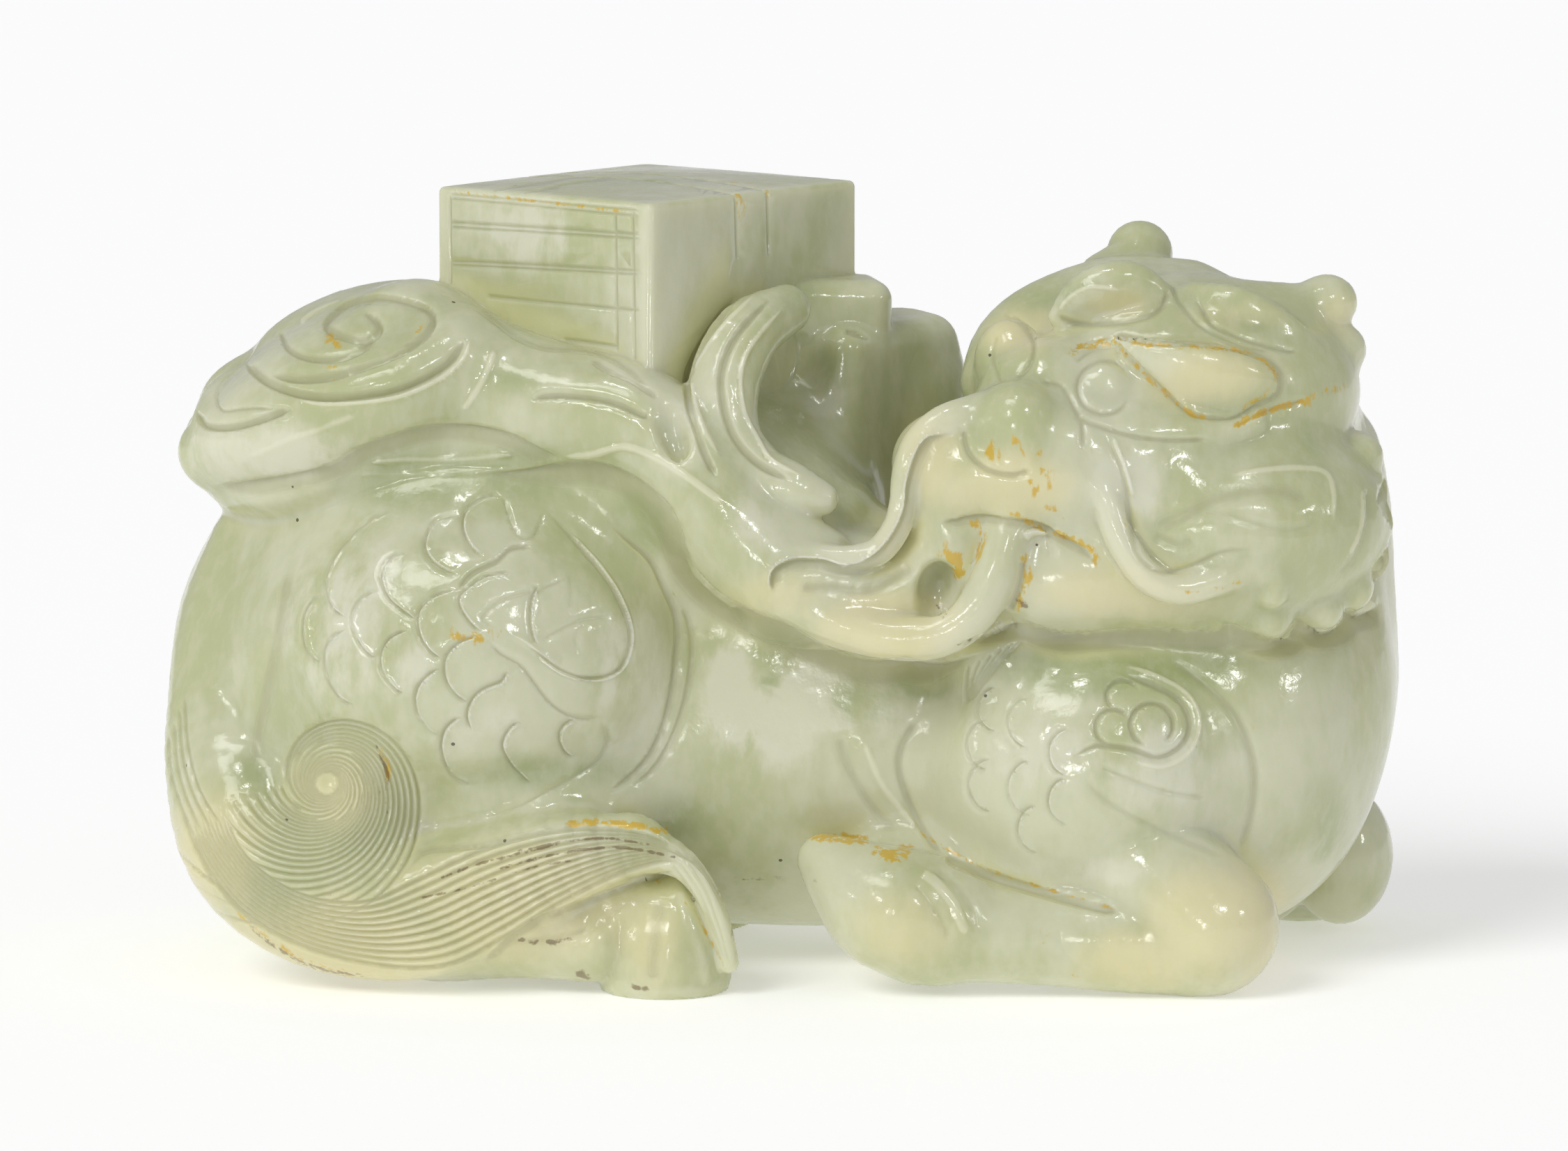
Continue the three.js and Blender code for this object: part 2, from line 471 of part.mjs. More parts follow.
// How far the surface rises or sinks at a point: the deepest line that passes over it.
function relief(x, y, z) {
  const depth = -Math.abs(y);
  const [u, v] = drawn(x, depth, z);
  let deepest = 0;
  for (const { path, reach, rise, front, wall = 0, both, box } of incised) {
    if (depth > front || (y > 0 && !both)) continue;
    if (u < box[0][0] || u > box[0][1] || v < box[1][0] || v > box[1][1]) continue;
    const near = nearness(path, u, v, reach);
    const side = wall ? THREE.MathUtils.smoothstep(near * UNIT, -wall, wall) : 1;
    const share = wall ? 1 - Math.abs(near) / reach : 1 - (near / reach) ** 2;
    const here = rise * share * share * side * Math.min((front - depth) / 1.5, 1);
    if (Math.abs(here) > Math.abs(deepest)) deepest = here;
  }
  return deepest;
}

const near = [...haunch(), ...shoulder(), ...hindLeg(), ...foreLeg()];
const forms = [
  ...trunk(),
  ...farSide([...haunch(), ...shoulder(), ...hindLeg()], [2, 0, 0]),
  ...farSide(foreLeg(), [12, 0, 0]),
  farKnee(),
  ...near,
  ...farSide(tail().slice(0, 3)),
  ...tail(),
  ...neck(),
  ...mane(),
  ...farSide(ruyi()),
  ...ruyi(),
  ...backCloud(),
  ...band(),
  ...vapour(),
  ...head(),
  ...frill(),
  ...face(),
  ...whisker(),
  ...horns(),
];

// Distance to the carving: the forms joined, or cut away, one after another with their own blends.
function carving(x, y, z) {
  let d = 1e3;
  for (const f of forms) {
    const margin = f.blend + 2;
    if (x < f.low[0] - margin || x > f.high[0] + margin || y < f.low[1] - margin || y > f.high[1] + margin
      || z < f.low[2] - margin || z > f.high[2] + margin) continue;
    const e = f.distance(x, y, z);
    const near = f.cut ? d + e : d - e;
    const h = Math.max(f.blend - Math.abs(near), 0);
    const soft = (h * h) / (4 * f.blend);
    d = f.cut ? Math.max(d, -e) + soft : Math.min(d, e) - soft;
  }
  return Math.abs(d) < 2 ? d - relief(x, y, z) : d;
}

// The surface where the distance is zero, by marching tetrahedra: each cell of a regular grid is six
// tetrahedra round its long diagonal, which always gives a closed surface.
function march(field, low, high, step) {
  const n = low.map((c, k) => Math.ceil((high[k] - c) / step) + 1);
  const stride = [1, n[0], n[0] * n[1]];
  const values = new Float32Array(n[0] * n[1] * n[2]);
  let at = 0;
  for (let k = 0; k < n[2]; k++) {
    for (let j = 0; j < n[1]; j++) {
      for (let i = 0; i < n[0]; i++) {
        values[at++] = field(low[0] + i * step, low[1] + j * step, low[2] + k * step);
      }
    }
  }
  const corner = [0, 1, 2, 3, 4, 5, 6, 7].map(
    (bits) => (bits & 1) * stride[0] + ((bits >> 1) & 1) * stride[1] + ((bits >> 2) & 1) * stride[2]);
  const tetrahedra = [[0, 1, 3, 7], [0, 5, 1, 7], [0, 3, 2, 7], [0, 2, 6, 7], [0, 4, 5, 7], [0, 6, 4, 7]];
  const points = [];
  const faces = [];
  const made = new Map();
  // The point where the surface crosses the edge between two samples, the same for every cell that shares it.
  const crossing = (p, q) => {
    const [a, b] = p < q ? [p, q] : [q, p];
    const key = a * 8 + corner.indexOf(b - a);
    if (!made.has(key)) {
      const t = THREE.MathUtils.clamp(values[a] / (values[a] - values[b]), 0.05, 0.95);
      const place = (v) => [v % n[0], Math.floor(v / n[0]) % n[1], Math.floor(v / stride[2])];
      const [from, to] = [place(a), place(b)];
      made.set(key, points.length / 3);
      points.push(...low.map((c, k) => c + step * THREE.MathUtils.lerp(from[k], to[k], t)));
    }
    return made.get(key);
  };
  for (let k = 0; k < n[2] - 1; k++) {
    for (let j = 0; j < n[1] - 1; j++) {
      for (let i = 0; i < n[0] - 1; i++) {
        const base = i + j * stride[1] + k * stride[2];
        const inside = corner.map((c) => values[base + c] < 0);
        if (inside.every((s) => s === inside[0])) continue;
        for (const tet of tetrahedra) {
          const within = tet.filter((c) => inside[c]);
          const without = tet.filter((c) => !inside[c]);
          if (within.length === 0 || without.length === 0) continue;
          // The cut through the tetrahedron, wound so that it faces out of the solid.
          const single = within.length === 1 ? within : without.length === 1 ? without : null;
          const ring = single
            ? tet.filter((c) => c !== single[0]).map((c) => crossing(base + corner[single[0]], base + corner[c]))
            : [[0, 0], [0, 1], [1, 1], [1, 0]].map(
              ([a, b]) => crossing(base + corner[within[a]], base + corner[without[b]]));
          const order = [...(single ?? within), ...(single ? tet.filter((c) => c !== single[0]) : without)];
          const swaps = order.reduce((sum, c, r) => sum + order.slice(r + 1).filter(
            (e) => tet.indexOf(e) < tet.indexOf(c)).length, 0);
          const flip = (swaps % 2 === 1) !== (single !== null && single === without);
          if (flip) ring.reverse();
          faces.push(ring[0], ring[1], ring[2]);
          if (ring.length === 4) faces.push(ring[0], ring[2], ring[3]);
        }
      }
    }
  }
  return { points, faces };
}

// The largest connected skin of a mesh: small closed pockets inside the stone are left out.
function outerSkin({ points, faces }) {
  const parent = Int32Array.from({ length: points.length / 3 }, (_, i) => i);
  const root = (v) => {
    while (parent[v] !== v) v = parent[v] = parent[parent[v]];
    return v;
  };
  for (let f = 0; f < faces.length; f += 3) {
    parent[root(faces[f + 1])] = root(faces[f]);
    parent[root(faces[f + 2])] = root(faces[f]);
  }
  const size = new Map();
  for (let f = 0; f < faces.length; f += 3) size.set(root(faces[f]), (size.get(root(faces[f])) ?? 0) + 1);
  const largest = [...size].sort((a, b) => b[1] - a[1])[0][0];
  return { points, faces: faces.filter((_, i) => root(faces[i - (i % 3)]) === largest) };
}

// Edge collapse by quadric error: the edge whose removal moves the surface least goes first, and an edge
// stays where its removal would pinch the surface or turn a face over. weight(x, y, z) says how much an
// error counts at a point.
function reduce({ points, faces }, target, weight) {
  const P = Float64Array.from(points);
  const F = Int32Array.from(faces);
  const around = Array.from({ length: P.length / 3 }, () => []);
  const Q = new Float64Array((P.length / 3) * 10);
  const stamp = new Int32Array(P.length / 3);
  const gone = new Uint8Array(F.length / 3);
  const normalOf = (a, b, c) => {
    const [ux, uy, uz] = [b[0] - a[0], b[1] - a[1], b[2] - a[2]];
    const [vx, vy, vz] = [c[0] - a[0], c[1] - a[1], c[2] - a[2]];
    return [uy * vz - uz * vy, uz * vx - ux * vz, ux * vy - uy * vx];
  };
  const at = (v) => [P[v * 3], P[v * 3 + 1], P[v * 3 + 2]];
  for (let f = 0; f < F.length / 3; f++) {
    const corners = [F[f * 3], F[f * 3 + 1], F[f * 3 + 2]];
    const a = at(corners[0]);
    const n = normalOf(a, at(corners[1]), at(corners[2]));
    const area = Math.hypot(...n) || 1e-12;
    const [x, y, z] = n.map((c) => c / area);
    const w = -(x * a[0] + y * a[1] + z * a[2]);
    const plane = [x * x, x * y, x * z, x * w, y * y, y * z, y * w, z * z, z * w, w * w];
    const share = area * weight(...a);
    for (const v of corners) {
      around[v].push(f);
      for (let k = 0; k < 10; k++) Q[v * 10 + k] += plane[k] * share;
    }
  }
  const error = (q, [x, y, z]) => q[0] * x * x + 2 * q[1] * x * y + 2 * q[2] * x * z + 2 * q[3] * x
    + q[4] * y * y + 2 * q[5] * y * z + 2 * q[6] * y + q[7] * z * z + 2 * q[8] * z + q[9];
  const plan = (a, b) => {
    const q = new Array(10);
    for (let k = 0; k < 10; k++) q[k] = Q[a * 10 + k] + Q[b * 10 + k];
    const [pa, pb] = [at(a), at(b)];
    const middle = pa.map((c, k) => (c + pb[k]) / 2);
    const det = q[0] * (q[4] * q[7] - q[5] * q[5]) - q[1] * (q[1] * q[7] - q[5] * q[2])
      + q[2] * (q[1] * q[5] - q[4] * q[2]);
    const choices = [middle, pa, pb];
    const length = Math.hypot(pa[0] - pb[0], pa[1] - pb[1], pa[2] - pb[2]);
    if (Math.abs(det) > 1e-9) {
      const best = [
        -(q[3] * (q[4] * q[7] - q[5] * q[5]) - q[1] * (q[6] * q[7] - q[5] * q[8])
          + q[2] * (q[6] * q[5] - q[4] * q[8])) / det,
        -(q[0] * (q[6] * q[7] - q[8] * q[5]) - q[3] * (q[1] * q[7] - q[5] * q[2])
          + q[2] * (q[1] * q[8] - q[6] * q[2])) / det,
        -(q[0] * (q[4] * q[8] - q[5] * q[6]) - q[1] * (q[1] * q[8] - q[2] * q[6])
          + q[3] * (q[1] * q[5] - q[4] * q[2])) / det];
      if (Math.hypot(best[0] - middle[0], best[1] - middle[1], best[2] - middle[2]) < length + 0.05) {
        choices.unshift(best);
      }
    }
    const costs = choices.map((c) => error(q, c));
    const pick = costs.indexOf(Math.min(...costs));
    return { cost: Math.max(costs[pick], 0) + 1e-5 * length * length, place: choices[pick] };
  };
  // A binary heap of edges, cheapest first.
  const heap = [];
  const push = (item) => {
    let i = heap.push(item) - 1;
    while (i > 0) {
      const up = (i - 1) >> 1;
      if (heap[up].cost <= item.cost) break;
      heap[i] = heap[up];
      i = up;
    }
    heap[i] = item;
  };
  const pop = () => {
    const first = heap[0];
    const item = heap.pop();
    let i = 0;
    while (heap.length) {
      let down = 2 * i + 1;
      if (down >= heap.length) break;
      if (down + 1 < heap.length && heap[down + 1].cost < heap[down].cost) down++;
      if (heap[down].cost >= item.cost) break;
      heap[i] = heap[down];
      i = down;
    }
    if (heap.length) heap[i] = item;
    return first;
  };
  const queue = (a, b) => push({ ...plan(a, b), a, b, sa: stamp[a], sb: stamp[b] });
  for (let f = 0; f < F.length; f += 3) {
    for (let k = 0; k < 3; k++) {
      if (F[f + k] < F[f + ((k + 1) % 3)]) queue(F[f + k], F[f + ((k + 1) % 3)]);
    }
  }
  const ringOf = (v) => new Set(
    around[v].flatMap((f) => [F[f * 3], F[f * 3 + 1], F[f * 3 + 2]]).filter((c) => c !== v));
  let left = F.length / 3;
  while (left > target && heap.length) {
    const { a, b, sa, sb, place } = pop();
    if (stamp[a] !== sa || stamp[b] !== sb) continue;
    const ringA = ringOf(a);
    const shared = [...ringOf(b)].filter((c) => ringA.has(c));
    if (shared.length !== 2) continue;
    const across = (v) => around[v].some(
      (f) => shared.every((c) => [F[f * 3], F[f * 3 + 1], F[f * 3 + 2]].includes(c)));
    if (across(a) && across(b)) continue;
    const turns = [a, b].some((v) => around[v].some((f) => {
      const c = [F[f * 3], F[f * 3 + 1], F[f * 3 + 2]];
      if (c.includes(a) && c.includes(b)) return false;
      const was = normalOf(...c.map(at));
      const is = normalOf(...c.map((w) => (w === v ? place : at(w))));
      const [wasSize, isSize] = [Math.hypot(...was), Math.hypot(...is)];
      return was[0] * is[0] + was[1] * is[1] + was[2] * is[2] < 0.3 * wasSize * isSize
        || isSize < 1e-5 || (wasSize > 1e-3 && isSize < 0.02 * wasSize);
    }));
    if (turns) continue;
    for (let k = 0; k < 3; k++) P[a * 3 + k] = place[k];
    for (let k = 0; k < 10; k++) Q[a * 10 + k] += Q[b * 10 + k];
    for (const f of around[b]) {
      const c = [F[f * 3], F[f * 3 + 1], F[f * 3 + 2]];
      if (c.includes(a)) {
        gone[f] = 1;
        left--;
        for (const w of c) if (w !== b) around[w] = around[w].filter((g) => g !== f);
      } else {
        F[f * 3 + c.indexOf(b)] = a;
        around[a].push(f);
      }
    }
    around[b] = [];
    stamp[b] = -1;
    stamp[a]++;
    for (const w of ringOf(a)) queue(a, w);
  }
  const kept = Array.from(F).filter((_, i) => !gone[Math.floor(i / 3)]);
  const used = [...new Set(kept)];
  const index = new Map(used.map((v, i) => [v, i]));
  return { points: used.flatMap((v) => at(v)), faces: kept.map((v) => index.get(v)) };
}

function meshOf({ points, faces }) {
  const geometry = new THREE.BufferGeometry();
  geometry.setAttribute("position", new THREE.BufferAttribute(Float32Array.from(points), 3));
  geometry.setIndex(faces);
  return geometry;
}

// A block with rounded edges and a top that swells in the middle, as a stack of wrapped books does.
function books() {
  const [long, wide, tall] = BOOKS;
  const [round, swell, cells] = [0.9, 0.7, 8];
  const block = new THREE.BoxGeometry(2, 2, 2, cells, cells, 4);
  block.deleteAttribute("normal");
  block.deleteAttribute("uv");
  const geometry = mergeVertices(block);
  const p = geometry.getAttribute("position");
  for (let i = 0; i < p.count; i++) {
    const unit = [p.getX(i), p.getY(i), p.getZ(i)];
    // The outermost rows stand one rounding radius in from the edge, and the edge itself is drawn in.
    const spot = unit.map((c, k) => {
      const half = [long, wide, tall][k] / 2;
      const rows = k === 2 ? 2 : cells / 2;
      const row = Math.round(Math.abs(c) * rows);
      return Math.sign(c) * (row === rows ? half : (row / (rows - 1)) * (half - round));
    });
    const core = spot.map((c, k) => THREE.MathUtils.clamp(c, round - [long, wide, tall][k] / 2,
      [long, wide, tall][k] / 2 - round));
    const out = new THREE.Vector3(...spot.map((c, k) => c - core[k]));
    if (out.lengthSq() > 0) out.setLength(round);
    const at = new THREE.Vector3(...core).add(out);
    if (at.z > 0) at.z += swell * (1 - (2 * at.x / long) ** 2) * (1 - (2 * at.y / wide) ** 2);
    p.setXYZ(i, at.x, at.y, at.z);
  }
  return geometry.rotateZ(THREE.MathUtils.degToRad(BOOKS_TURN)).translate(...BOOKS_CENTRE);
}

const wasm = await Module();
wasm.setup();

function solid(geometry) {
  return new wasm.Manifold(new wasm.Mesh({
    numProp: 3,
    vertProperties: Float32Array.from(geometry.getAttribute("position").array),
    triVerts: Uint32Array.from(geometry.index.array),
  }));
}

function plain(geometry) {
  geometry.deleteAttribute("normal");
  geometry.deleteAttribute("uv");
  return mergeVertices(geometry);
}

const low = [-LENGTH / 2 - 3, -DEPTH / 2 - 3, -6.3];
const high = [LENGTH / 2 + 3, DEPTH / 2 + 3, HEIGHT];
// The carved lines count most, then the face, and the plain far side least.
const weight = (x, y, z) => (Math.abs(relief(x, y, z)) > 0.2 ? 10 : 1) * (x > 10 && z > 38 && y < 5 ? 3 : 1)
  * (y > 5 ? 0.4 : 1);
const skin = reduce(outerSkin(march(carving, low, high, STEP)), TRIANGLES, weight);
const under = plain(new THREE.BoxGeometry(2 * LENGTH, 2 * DEPTH, 20).translate(0, 0, -10));
const { vertProperties, triVerts } = solid(meshOf(skin)).add(solid(books())).subtract(solid(under)).getMesh();

const jade = new THREE.MeshStandardMaterial({ color: 0xc9d2b4, roughness: 0.25, metalness: 0 });
const figure = new THREE.Mesh(meshOf({ points: vertProperties, faces: Array.from(triVerts) }), jade);
figure.name = "qilin_carving";
const group = new THREE.Group();
group.add(figure);
export default group;
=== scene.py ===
# %% [markdown]
# # A jade qilin that carries books
# The object is one pebble of pale celadon jade, about 12 cm long, carved as a qilin, the hoofed beast of
# good luck. It lies down and looks back over its shoulder. The vapour from its mouth becomes a band of cloud
# along its flank, ends in a ruyi head over the rump, and bears a case of books.
#
# Everything is one stone, so the scene makes one piece. It could be sculpted by hand, or laid out as many
# patches that would need sewing together. Here the stone is a field of distances instead: soft forms are
# joined one after another, as a carver rounds a block, and the skin is wherever the distance is zero. Fine
# lines are then cut into that skin, and the polish and the clouds of the jade follow in the material.

import math

import bpy
import numpy as np
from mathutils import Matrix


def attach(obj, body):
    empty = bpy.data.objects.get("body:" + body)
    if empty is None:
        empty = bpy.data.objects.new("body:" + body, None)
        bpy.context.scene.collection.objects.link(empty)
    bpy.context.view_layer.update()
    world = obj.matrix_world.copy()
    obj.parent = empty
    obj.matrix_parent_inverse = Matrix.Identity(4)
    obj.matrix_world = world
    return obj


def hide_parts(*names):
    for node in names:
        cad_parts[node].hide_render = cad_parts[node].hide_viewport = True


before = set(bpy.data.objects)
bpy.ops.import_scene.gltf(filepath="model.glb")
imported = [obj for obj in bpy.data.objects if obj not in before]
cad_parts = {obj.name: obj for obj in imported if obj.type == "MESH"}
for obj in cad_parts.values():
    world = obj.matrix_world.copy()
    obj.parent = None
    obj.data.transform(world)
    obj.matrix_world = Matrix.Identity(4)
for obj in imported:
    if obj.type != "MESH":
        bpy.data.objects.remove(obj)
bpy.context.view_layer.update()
STONE = "qilin_carving"
MM = 0.001

# %% [markdown]
# ## The front drawing
# A carver draws the beast on the face of the pebble before cutting it. Places are given the same way here:
# as (u, v) on a front drawing, u to the right and v down, in units of 0.0675 mm. The drawing is seen from
# 900 mm away and from 8 degrees above, and the camera stands at the same spot, so a form put at (u, v) shows
# there in the picture whatever its depth y is.

# %% The drawing, its two maps and the camera
DRAWING = (2251, 1652)
UNIT = 0.0675
FAR = 900.0
TILT = math.radians(8)
RISE, DIP = math.cos(TILT), math.sin(TILT)
CENTRE = (DRAWING[0] / 2, DRAWING[1] / 2)
TARGET = np.array([0.2, 0.0, 37.3])
EYE = TARGET + FAR * np.array([0, -RISE, DIP])
LOOK = (TARGET - EYE) / FAR
SENSOR = 36.0


def seen(u, v, y):
    """The point in mm at depth y that shows at (u, v): the eye plus t times the ray through (u, v)."""
    across, up = (u - CENTRE[0]) * UNIT, (CENTRE[1] - v) * UNIT
    t = (y - EYE[1]) / (FAR * RISE + DIP * up)
    return (EYE[0] + t * across, y, EYE[2] + t * (RISE * up - FAR * DIP))


def drawn(points):
    """Where points in mm are on the drawing: the offset from the eye, across and up, over the depth."""
    offset = points - EYE
    scale = FAR / (offset @ LOOK) / UNIT
    return CENTRE[0] + offset[:, 0] * scale, CENTRE[1] - (offset[:, 1] * DIP + offset[:, 2] * RISE) * scale


camera = bpy.data.objects.new("front_camera", bpy.data.cameras.new("front_camera"))
camera.data.sensor_width = SENSOR
camera.data.lens = SENSOR * FAR / (DRAWING[0] * UNIT)
camera.location = EYE * MM
camera.rotation_euler = (math.pi / 2 - TILT, 0, 0)
bpy.context.scene.collection.objects.link(camera)
bpy.context.scene.camera = camera
print(f"the drawing is {DRAWING[0] * UNIT:.0f} mm wide, seen with a {camera.data.lens:.0f} mm lens")

# %% [markdown]
# ## Forms as distances
# Three kinds of form make the whole beast: an ellipsoid for a muscle or a cheek, a box with rounded edges
# for the tier under the books, and a limb, whose round section changes along a smooth line, for everything
# long. Each form is a list of parts, and each part has its box and a function that gives the distance to it,
# below zero inside. A part works on whole arrays, so one call measures a slice of space.

# %% The three kinds of form
OUTSIDE = 1e3


def axes_of(turn):
    """The matrix of a turn in degrees about X, then Y, then Z, as the product Rx Ry Rz."""
    matrix = np.eye(3)
    for k, angle in enumerate(np.radians(turn)):
        step = np.eye(3)
        i, j = [(1, 2), (2, 0), (0, 1)][k]
        step[i, i] = step[j, j] = math.cos(angle)
        step[i, j], step[j, i] = -math.sin(angle), math.sin(angle)
        matrix = matrix @ step
    return matrix


def local(x, y, z, centre, matrix):
    """A point in a turned form's own axes: its offset from the centre along each of the three."""
    dx, dy, dz = x - centre[0], y - centre[1], z - centre[2]
    return [matrix[0, k] * dx + matrix[1, k] * dy + matrix[2, k] * dz for k in range(3)]


def blob(centre, radii, turn=(0, 0, 0)):
    """An ellipsoid. With q the local point over the radii, the distance is |q| (|q| - 1) / |q / radii|."""
    matrix = axes_of(turn)

    def distance(x, y, z):
        q = [c / r for c, r in zip(local(x, y, z, centre, matrix), radii)]
        near = np.sqrt(q[0] ** 2 + q[1] ** 2 + q[2] ** 2)
        slope = np.sqrt(sum((c / r) ** 2 for c, r in zip(q, radii)))
        return near * (near - 1) / np.maximum(slope, 1e-6)

    reach = max(radii)
    return [(np.array(centre) - reach, np.array(centre) + reach, distance)]


def slab(centre, half, edge, turn=(0, 0, 0), swell=0.0):
    """A box with rounded edges: the length of what lies beyond the core box, less the edge radius. Its top
    may swell in the middle by swell times (1 - a^2)(1 - b^2), with a and b from -1 to 1 across it."""
    matrix = axes_of(turn)

    def distance(x, y, z):
        q = local(x, y, z, centre, matrix)
        dome = swell * np.clip(1 - (q[0] / half[0]) ** 2, 0, 1) * np.clip(1 - (q[1] / half[1]) ** 2, 0, 1)
        q[2] = np.where(q[2] > 0, q[2] - dome, q[2])
        beyond = [np.abs(c) - h + edge for c, h in zip(q, half)]
        outside = np.sqrt(sum(np.maximum(b, 0) ** 2 for b in beyond))
        inside = np.minimum(np.maximum(np.maximum(beyond[0], beyond[1]), beyond[2]), 0)
        return outside + inside - edge

    reach = math.hypot(*half)
    return [(np.array(centre) - reach, np.array(centre) + reach, distance)]


def smooth(points, steps):
    """A Catmull-Rom line through points of any number of columns, with steps pieces between two."""
    p = np.array(points, float)
    a, b, c, d = (p[np.clip(np.arange(len(p) - 1) + k, 0, len(p) - 1)][:, None] for k in (-1, 0, 1, 2))
    t = (np.arange(steps) / steps)[None, :, None]
    line = 0.5 * (2 * b + (c - a) * t + (2 * a - 5 * b + 4 * c - d) * t ** 2
                  + (3 * b - a - 3 * c + d) * t ** 3)
    return np.vstack([line.reshape(-1, p.shape[1]), p[-1:]])


def limb(points, flat=None, steps=4):
    """A round limb along a smooth line of (x, y, z, r): one part for each piece of the line, whose distance
    is that to the nearest point a + t (b - a), less the radius there. With flat = (nx, ny, nz, share) the
    section is squeezed along that direction to that share of its radius."""
    squeeze, n = 0.0, np.zeros(3)
    if flat:
        squeeze, n = 1 / flat[3] - 1, np.array(flat[:3]) / np.linalg.norm(flat[:3])
    parts = []
    line = smooth(points, steps)
    for a, b in zip(line[:-1], line[1:]):
        def distance(x, y, z, a=a, b=b, e=b[:3] - a[:3]):
            p = [x - a[0], y - a[1], z - a[2]]
            t = np.clip((p[0] * e[0] + p[1] * e[1] + p[2] * e[2]) / (e @ e), 0, 1)
            p = [c - t * s for c, s in zip(p, e)]
            if squeeze:
                off = (p[0] * n[0] + p[1] * n[1] + p[2] * n[2]) * squeeze
                p = [c + off * s for c, s in zip(p, n)]
            return np.sqrt(p[0] ** 2 + p[1] ** 2 + p[2] ** 2) - (a[3] + (b[3] - a[3]) * t)
        reach = max(a[3], b[3])
        parts.append((np.minimum(a, b)[:3] - reach, np.maximum(a, b)[:3] + reach, distance))
    return parts


def stroke(points, flat=None):
    """A limb whose points (u, v, y, r) are on the front drawing, with depth y and radius r in mm."""
    return limb([(*seen(u, v, y), r) for u, v, y, r in points], flat)


SOFT, FIRM, CRISP = 7.0, 2.5, 0.9


def add(parts, blend):
    """A form that is joined to those before it, and runs into them over a blend in mm."""
    return {"parts": parts, "blend": blend, "cut": False}


def cut(parts, blend):
    """A form that is cut out of those before it, with its rim softened over a blend in mm."""
    return {"parts": parts, "blend": blend, "cut": True}


def far_side(forms, shift=(0, 0, 0)):
    """The same forms on the far side of the beast: y is turned round, and then they are moved by shift."""
    dx, dy, dz = shift

    def turned(low, high, distance):
        return (np.array([low[0] + dx, dy - high[1], low[2] + dz]),
                np.array([high[0] + dx, dy - low[1], high[2] + dz]),
                lambda x, y, z: distance(x - dx, dy - y, z - dz))

    return [{**form, "parts": [turned(*part) for part in form["parts"]]} for form in forms]


print(f"a blend is {SOFT} mm between muscles, {FIRM} mm between forms and {CRISP} mm at a carved edge")

# %% [markdown]
# ## Body and legs
# The trunk is three soft masses. The haunch and the shoulder stand out of it as flat pillows, with an edge
# that is firm enough to catch the light. The legs are folded under: only the near hind hoof, the near
# foreleg and the knees come forward. The far side repeats them plainly.

# %% Trunk, haunch, shoulder and legs
trunk = [
    add(limb([(-36, 2, 27, 20), (-12, 3, 22.6, 19.3), (14, 3, 21.6, 18.9), (36, 2, 24, 19)]), SOFT),
    add(blob((-40, 2, 27), (18.5, 19, 21)), SOFT),
    add(blob(seen(1745, 1050, -1), (16, 18, 19)), SOFT),
]
haunch = [
    add(blob(seen(668, 925, -8), (21.3, 18, 17)), FIRM),
    add(blob(seen(745, 1125, -9), (17, 12, 8.5)), FIRM),
]
shoulder = [add(blob(seen(1560, 1085, -8), (17.5, 17.5, 15.5)), FIRM)]
hind_leg = [
    add(stroke([(640, 1320, -14, 6), (740, 1335, -18, 4.6), (850, 1355, -20, 3.6)]), CRISP),
    add(stroke([(820, 1330, -17.5, 3.6), (870, 1316, -18, 4.2), (925, 1302, -17.6, 4.6)]), CRISP),
    add(stroke([(972, 1268, -20.5, 1.0), (965, 1310, -19.5, 3.6), (957, 1350, -18.6, 5.6),
                (954, 1384, -18, 6.5)]), CRISP),
]
foreleg = [
    add(stroke([(1300, 1270, -14, 6), (1450, 1280, -14, 7), (1620, 1290, -14, 8)]), FIRM),
    add(stroke([(1330, 1325, -20, 6), (1400, 1338, -21, 4.8), (1500, 1345, -21, 4.6), (1600, 1350, -21, 4.9),
                (1700, 1345, -20.5, 5.6)]), CRISP),
    add(stroke([(1345, 1320, -20.5, 6), (1280, 1305, -21, 6), (1225, 1268, -20, 4.3),
                (1182, 1234, -18.5, 2.5)]), CRISP),
    add(stroke([(1570, 1185, -15.5, 5.6), (1648, 1248, -18.4, 6.6), (1734, 1328, -20.4, 6.8)]), CRISP),
]
far_knee = add(blob(seen(1924, 1226, 14), (5.2, 6.5, 6.9)), CRISP)
print(len(trunk + haunch + shoulder + hind_leg + foreleg), "forms make the body and the near legs")

# %% [markdown]
# ## Tail, neck and mane
# The tail runs down the edge of the rump, turns in a swirl, and sweeps forward over the hind hoof as one
# long lock. A pit is cut beside the swirl. The neck rises behind the head, with a thin crest down its edge.

# %% Tail, neck and mane
tail = [
    add(stroke([(352, 780, -2, 3), (326, 890, -4, 4.2), (318, 1005, -7, 5.1), (330, 1105, -10, 6.2),
                (374, 1210, -13.5, 7.5), (460, 1280, -16.5, 7.3), (585, 1302, -19, 7.0),
                (690, 1280, -20.5, 6.3), (810, 1232, -21.8, 4.5), (915, 1212, -22.5, 2.7)]), FIRM),
    add(stroke([(905, 1210, -22.4, 2.7), (980, 1240, -22.8, 1.5), (1026, 1305, -22.6, 1.1),
                (1046, 1382, -22, 1.0)]), CRISP),
    add(blob(seen(508, 1152, -16.8), (6.8, 7.2, 7.8)), FIRM),
    cut(stroke([(378, 1010, -21, 2.0), (380, 1075, -23, 3.4), (392, 1130, -25.5, 3.6),
                (420, 1160, -27, 2.4)]), 2 * FIRM),
]
